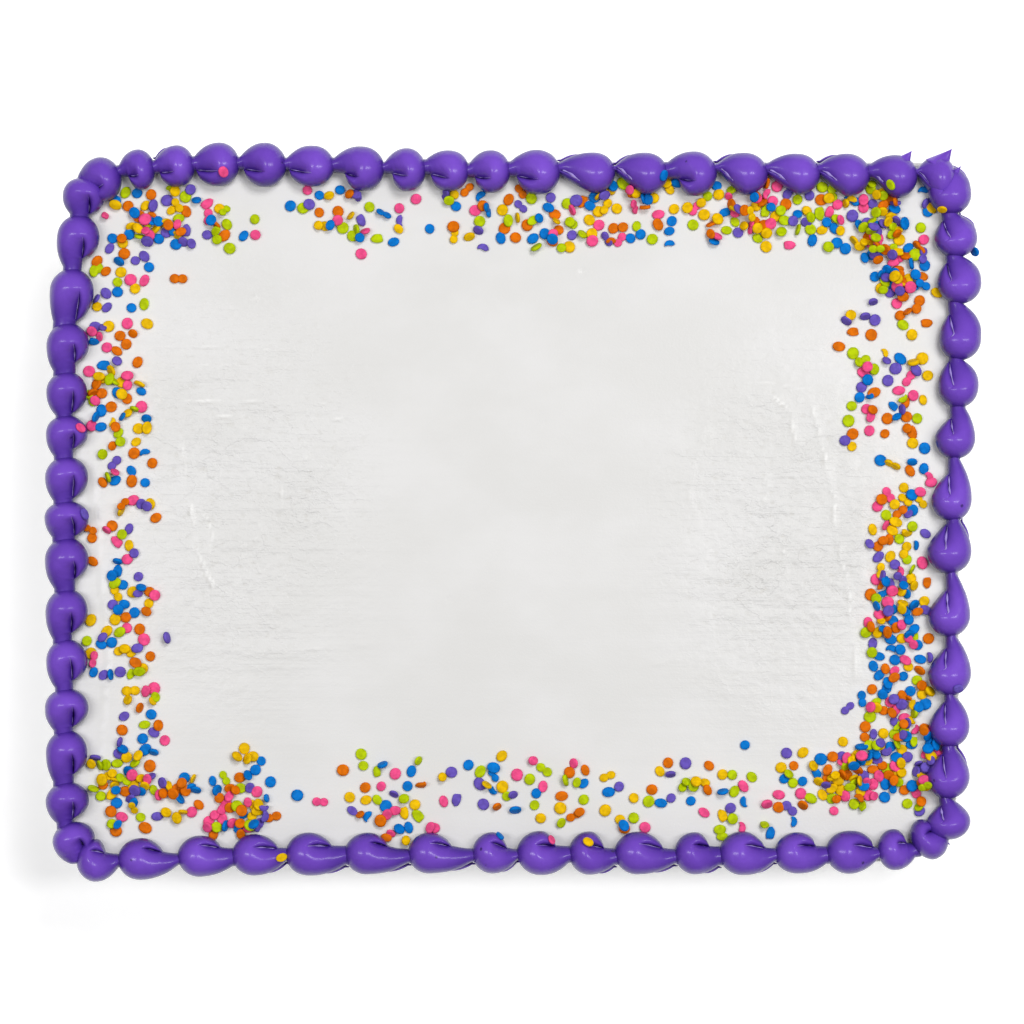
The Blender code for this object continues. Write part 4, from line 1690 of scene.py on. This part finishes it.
    def build(self, sprinkles: Sequence[Sprinkle]) -> list[tuple[bpy.types.Object, Sugar]]:
        """Make a piece for each colour.

        Args:
            sprinkles: The sprinkles at rest.

        Returns:
            Each piece with its colour.
        """
        shapes = bpy.data.collections.new("confetti_shapes")
        prototypes = [self.shape_mesh(shape, shapes) for shape in Shape]
        tree = self.tree()
        sockets = {item.name: item.identifier for item in tree.interface.items_tree if item.in_out == "INPUT"}
        pieces = []
        for number, sugar in enumerate(Sugar):
            own = [sprinkle for sprinkle in sprinkles if sprinkle.sugar is sugar]
            points = bpy.data.meshes.new("points")
            points.from_pydata([tuple(sprinkle.place) for sprinkle in own], [], [])
            turns = [(sprinkle.up.to_track_quat("Z", "Y").to_matrix()
                      @ Matrix.Rotation(sprinkle.spin, 3, "Z")).to_euler() for sprinkle in own]
            give(points, "turn", "FLOAT_VECTOR", [tuple(turn) for turn in turns])
            give(points, "stretch", "FLOAT_VECTOR", [sprinkle.stretch for sprinkle in own])
            give(points, "shape", "INT", [sprinkle.shape for sprinkle in own])
            piece = linked("confetti_" + sugar.name.lower(), points)
            scatter = piece.modifiers.new("confetti", "NODES")
            scatter.node_group = tree
            for name, value in (("Shapes", shapes), ("Radius", QUIN_RADIUS), ("Least Size", self.sizes[0]),
                                ("Greatest Size", self.sizes[1]), ("Seed", number),
                                ("Finish", SugarConfetti(sugar).material())):
                scatter[sockets[name]] = value
            bpy.context.view_layer.update()
            graph = bpy.context.evaluated_depsgraph_get()
            piece_mesh = bpy.data.meshes.new_from_object(piece.evaluated_get(graph))
            piece.modifiers.clear()
            piece.data = piece_mesh
            bpy.data.meshes.remove(points)
            pieces.append((piece, sugar))
        for prototype in prototypes:
            bpy.data.objects.remove(prototype)
        bpy.data.collections.remove(shapes)
        return pieces


# Studio


@dataclass
class Studio:
    """The pale floor, the lights and the camera straight above the cake.

    Args:
        camera_height: Height of the camera above the beads.
        photo_width: Width that the picture takes in at the beads' height.
        bead_level: Height at which the picture has that width.
        sensor: Width of the camera's sensor, in Blender's mm.
        lamp_place: Where the right one of the two side lamps hangs. The left one is its mirror image.
        lamp_size: Width and length of a side lamp.
        lamp_watts: Power of a side lamp.
        top_place: Where the top lamp hangs, off the middle so that low relief shows.
        top_size: Its width and length.
        top_watts: Its power.
        sky: Strength of the white surroundings.
        floor_reach: How far the floor goes each way.
        floor_level: Its height, just under the cake.
        floor_glow: Its own light, which keeps it white as in the photo.
    """

    camera_height: float = 1.6
    photo_width: float = 1024 * 0.4366 * MM
    bead_level: float = 75 * MM
    sensor: float = 36.0
    lamp_place: tuple = (0.80, 0.05, 1.65)
    lamp_size: tuple = (0.20, 0.90)
    lamp_watts: float = 8.6
    top_place: tuple = (0.55, 0.95, 1.9)
    top_size: tuple = (0.8, 0.6)
    top_watts: float = 23.0
    sky: float = 0.20
    floor_reach: float = 6.0
    floor_level: float = -0.2 * MM
    floor_glow: float = 0.36

    def build(self) -> None:
        """Set up the studio."""
        self.add_camera()
        self.add_floor()
        x, y, z = self.lamp_place
        self.add_lamp("lamp_left", (-x, y, z), self.lamp_size, self.lamp_watts)
        self.add_lamp("lamp_right", (x, y, z), self.lamp_size, self.lamp_watts)
        top = self.add_lamp("lamp_top", self.top_place, self.top_size, self.top_watts)
        top.visible_glossy = False
        world = bpy.data.worlds.new("studio")
        bpy.context.scene.world = world
        world.use_nodes = True
        background = world.node_tree.nodes["Background"]
        background.inputs["Color"].default_value = (1.0, 1.0, 1.0, 1.0)
        background.inputs["Strength"].default_value = self.sky
        bpy.context.scene.view_settings.view_transform = "Standard"

    def add_camera(self) -> None:
        """Put the camera straight above the middle of the cake."""
        data = bpy.data.cameras.new("camera")
        data.sensor_width = self.sensor
        data.lens = data.sensor_width * self.camera_height / self.photo_width
        data.clip_end = 100.0
        camera = linked("camera", data)
        camera.location = (0.0, 0.0, self.bead_level + self.camera_height)
        bpy.context.scene.camera = camera

    def add_floor(self) -> None:
        """Lay the plain pale floor."""
        mesh = bpy.data.meshes.new("floor")
        corners = [(x * self.floor_reach, y * self.floor_reach, self.floor_level)
                   for x, y in ((-1, -1), (1, -1), (1, 1), (-1, 1))]
        mesh.from_pydata(corners, [], [[0, 1, 2, 3]])
        board = Board("floor_pale")
        board.set(Base_Color=(0.95, 0.95, 0.95, 1.0), Roughness=0.9, Specular_IOR_Level=0.0,
                  Emission_Color=(1.0, 1.0, 1.0, 1.0), Emission_Strength=self.floor_glow)
        mesh.materials.append(board.material)
        linked("floor", mesh)

    def add_lamp(self, name: str, place: tuple, size: tuple, watts: float) -> bpy.types.Object:
        """Hang a softbox that faces the cake.

        Args:
            name: Its name.
            place: Where it hangs.
            size: Its width and length.
            watts: Its power.

        Returns:
            The lamp.
        """
        data = bpy.data.lights.new(name, "AREA")
        data.shape = "RECTANGLE"
        data.size, data.size_y = size
        data.energy = watts
        lamp = linked(name, data)
        lamp.location = place
        lamp.rotation_euler = (Vector(place) - Vector((0, 0, CAKE_HEIGHT))).to_track_quat("Z", "Y").to_euler()
        return lamp


BORDER = (
    PipedSide(
        Side.BACK,
        ((194, 146), (178, 146), (135, 147.5), (47, 148), (-49, 149.5), (-114, 152), (-158, 150.5),
         (-179, 146), (-188, 142)),
        (17, 20.5, 22, 23, 22, 21.5, 23, 24, 22, 18, 19, 18, 22, 21, 20.5, 19.5, 17.5, 15.5, 18),
        ((4, Piping.SMOOTH), (5, Piping.CURL), (7, Piping.SMOOTH), (18, Piping.CURL)),
        (((169.5, 151, 77), (174.2, 157.4, 79), 6.4), ((186, 151, 76.5), (191.6, 158.2, 80), 7.6),
         ((192.2, 146.2, 77), (195.5, 150.6, 80), 3.6))),
    PipedSide(
        Side.LEFT,
        ((-186, 146), (-188.5, 128), (-191, 109), (-193.5, 84), (-194.5, 58), (-194.5, -38), (-194.5, -121),
         (-193, -139), (-189, -152)),
        (16.5, 23.5, 24, 21.5, 19, 18, 19.5, 16, 22.5, 22, 21.5, 18.5, 22.5, 18, 17),
        ((14, Piping.EAR),)),
    PipedSide(
        Side.FRONT,
        ((-190, -152), (-180, -153), (-158, -151), (-123, -150), (-49, -149), (39, -149), (126, -149),
         (170, -147.5), (180.5, -144), (188, -139)),
        (18, 26, 23.5, 23.5, 25.5, 27.5, 28, 19.5, 22.5, 20, 26, 19.5, 24, 22.5, 22.5, 16, 14.5),
        ((12, Piping.LONG), (16, Piping.CURL)),
        (((188, -142.5, 73.5), (191.6, -145.6, 74.5), 1.7),
         ((189.8, -140.6, 73), (192.6, -142.0, 73.5), 1.1))),
    PipedSide(
        Side.RIGHT,
        ((191, -143), (190, -126), (191, -99), (191, -56), (191, -12), (193.5, 31), (196, 75), (195.5, 101),
         (193.5, 125), (190.5, 143), (189, 152)),
        (17.5, 22.5, 22.5, 25.5, 27.5, 23, 27, 22.5, 20.5, 24.5, 20.5, 18.5, 22.5),
        ((7, Piping.FOLD), (12, Piping.COIL))),
)

CONFETTI = Confetti(
    drifts=((-158, 130, 18, 13, 36), (-136, 127, 11, 11, 12), (-120, 123, 12, 6, 5), (-77, 132, 13, 11, 20),
            (-57, 126, 10, 11, 9), (-20, 129, 9, 12, 14), (0, 130, 11, 13, 15), (28, 128, 17, 13, 32),
            (55, 134, 14, 16, 26), (76, 132, 7, 6, 6), (103, 131, 19, 12, 40), (138, 129, 14, 14, 32),
            (160, 128, 10, 13, 33), (171, 106, 11, 11, 30), (182, 124, 5, 15, 4), (176, 85, 8, 7, 7),
            (162, 76, 17, 10, 11), (165, 54, 14, 13, 28), (168, 40, 12, 6, 8), (147, 40, 3, 13, 4),
            (169, 20, 14, 11, 9), (168, -3, 12, 11, 24), (168, -22, 11, 9, 14), (169, -42, 12, 15, 38),
            (168, -64, 12, 8, 15), (169, -86, 15, 14, 38), (169, -106, 18, 10, 40), (166, -122, 18, 7, 20),
            (146, -121, 11, 9, 13), (126, -120, 11, 10, 14), (119, -109, 9, 5, 2), (116, -134, 7, 7, 5),
            (93, -122, 9, 14, 14), (74, -119, 11, 11, 10), (51, -128, 12, 11, 12), (22, -125, 11, 13, 15),
            (3, -122, 12, 12, 13), (-19, -121, 13, 11, 10), (-50, -122, 10, 12, 16), (-63, -122, 7, 15, 9),
            (-48, -138, 13, 3, 5), (-113, -112, 8, 10, 11), (-117, -129, 12, 9, 18), (-125, -139, 10, 5, 8),
            (-135, -124, 11, 9, 13), (-150, -124, 9, 9, 8), (-172, -117, 12, 11, 24), (-168, -134, 9, 7, 8),
            (-165, -101, 9, 7, 8), (-164, -86, 8, 10, 10), (-171, -60, 14, 13, 26), (-167, -38, 10, 11, 17),
            (-177, -15, 12, 9, 12), (-165, -2, 8, 7, 7), (-169, 27, 12, 14, 20), (-173, 49, 13, 12, 28),
            (-168, 64, 10, 5, 4), (-172, 80, 12, 11, 16), (-170, 102, 12, 11, 13), (-168, 116, 11, 5, 5),
            (154, -114, 15, 8, 26), (168, -90, 8, 8, 8), (-172, -116, 8, 8, 9), (-116, -131, 8, 6, 8),
            (-146, -122, 9, 4, 5), (163, 118, 9, 10, 16), (168, 100, 7, 6, 8), (104, 128, 12, 8, 8),
            (-156, 124, 12, 5, 9), (167, -38, 8, 9, 7)),
    lone=((-97, 134, Sugar.BLUE), (-146, 102, Sugar.ORANGE), (-161, 91, Sugar.LIME), (-42, 137, Sugar.PINK),
          (-66, 113, Sugar.PINK), (-36, 124, Sugar.BLUE), (-151, -55, Sugar.PURPLE),
          (-159, -40, Sugar.YELLOW), (-152, -100, Sugar.PINK), (-94, -124, Sugar.BLUE),
          (-84, -127, Sugar.PINK), (-74, -113, Sugar.ORANGE), (-66, -106, Sugar.LIME),
          (102, -102, Sugar.BLUE), (105, -116, Sugar.LIME), (76, -110, Sugar.PURPLE),
          (147, -86, Sugar.PURPLE), (158, 92, Sugar.PURPLE)),
    landed=((-125.5, 148, Sugar.PINK, 0), (65.7, 146.5, Sugar.BLUE, 0), (72, 144, Sugar.BLUE, 40),
            (165, 142.5, Sugar.LIME, 0), (183.5, 133, Sugar.YELLOW, 0), (187.5, 132, Sugar.YELLOW, 0),
            (202.8, 114, Sugar.BLUE, 65), (186, 96, Sugar.YELLOW, 0), (-188, 36.5, Sugar.PINK, 0),
            (-186.5, -1, Sugar.PURPLE, 0), (183.5, 13, Sugar.PINK, 0), (194, -76.5, Sugar.PURPLE, 0),
            (178.5, -131, Sugar.PURPLE, 0), (-100.5, -150.5, Sugar.YELLOW, 0), (-55, -142.5, Sugar.ORANGE, 0),
            (-46.5, -144, Sugar.YELLOW, 45), (17, -143, Sugar.PINK, 0), (33, -143.5, Sugar.YELLOW, 40),
            (-5.5, -141.5, Sugar.BLUE, 0), (92, -142, Sugar.LIME, 0), (91, -139, Sugar.LIME, 0),
            (-183, 105.5, Sugar.LIME, 0), (-181, 107, Sugar.LIME, 0)),
    leanings=((170, 109, Sugar.BLUE, 9), (172, 97, Sugar.BLUE, 8), (-165, -34, Sugar.BLUE, 10),
              (116, -134, Sugar.BLUE, 7), (167, -66, Sugar.BLUE, 8), (-170, 102, Sugar.BLUE, 8),
              (56, 134, Sugar.BLUE, 8), (-172, -113, Sugar.YELLOW, 8), (119, -109, Sugar.YELLOW, 8),
              (115, 131, Sugar.YELLOW, 9), (146, -121, Sugar.YELLOW, 9), (-113, -112, Sugar.ORANGE, 8),
              (-77, 133, Sugar.ORANGE, 8), (-134, -124, Sugar.ORANGE, 8), (-168, 30, Sugar.ORANGE, 9),
              (22, 127, Sugar.ORANGE, 8), (167, -1, Sugar.ORANGE, 8), (-166, 130, Sugar.LIME, 9),
              (73, -119, Sugar.LIME, 8), (95, 130, Sugar.LIME, 8), (-173, 52, Sugar.LIME, 8),
              (-57, 127, Sugar.LIME, 8), (158, 91, Sugar.PURPLE, 8), (148, -89, Sugar.PURPLE, 8),
              (-19, -121, Sugar.PURPLE, 8), (146, 130, Sugar.PURPLE, 7), (-166, -100, Sugar.PURPLE, 8),
              (164, 56, Sugar.PINK, 9), (176, 85, Sugar.PINK, 8)),
    shares={Sugar.ORANGE: 0.18, Sugar.PINK: 0.14, Sugar.YELLOW: 0.20, Sugar.LIME: 0.16, Sugar.BLUE: 0.175,
            Sugar.PURPLE: 0.13})


def attach(piece: bpy.types.Object, slot: str, *nodes: str) -> None:
    """Tie a finished piece to the frame and report it.

    Args:
        piece: The piece, in place.
        slot: The record's slot of its finish. Not used.
        nodes: The solids that it stands for.
    """
    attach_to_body(piece, BODY)
    if nodes:
        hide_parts(*nodes)
    triangles = sum(len(face.vertices) - 2 for face in piece.data.polygons)
    LOG.info("%s: %d triangles, stands for %s", piece.name, triangles, ", ".join(nodes) or "no solid")


def main() -> None:
    """Build the cake's looks, piece by piece."""
    Studio().build()
    block = IcedBlock()
    attach(block.build(WhiteIcing().material()), "white_icing", "iced_cake")
    widths = np.random.default_rng(BORDER_SEED)
    shapes = np.random.default_rng(SHAPE_SEED)
    purple = PipedIcing().material()
    runs = [(side, side.build(widths, shapes, purple)) for side in BORDER]
    places, faces = [], []
    for side, run in runs:
        attach(run, "purple_icing", side.side.value)
        faces.extend([[corner + len(places) for corner in face.vertices] for face in run.data.polygons])
        places.extend([tuple(corner.co) for corner in run.data.vertices])
    beads = BVHTree.FromPolygons(places, faces)
    for piece, sugar in CONFETTI.build(CONFETTI.settle(block, beads)):
        attach(piece, sugar.slot)


if __name__ == "__main__":
    main()
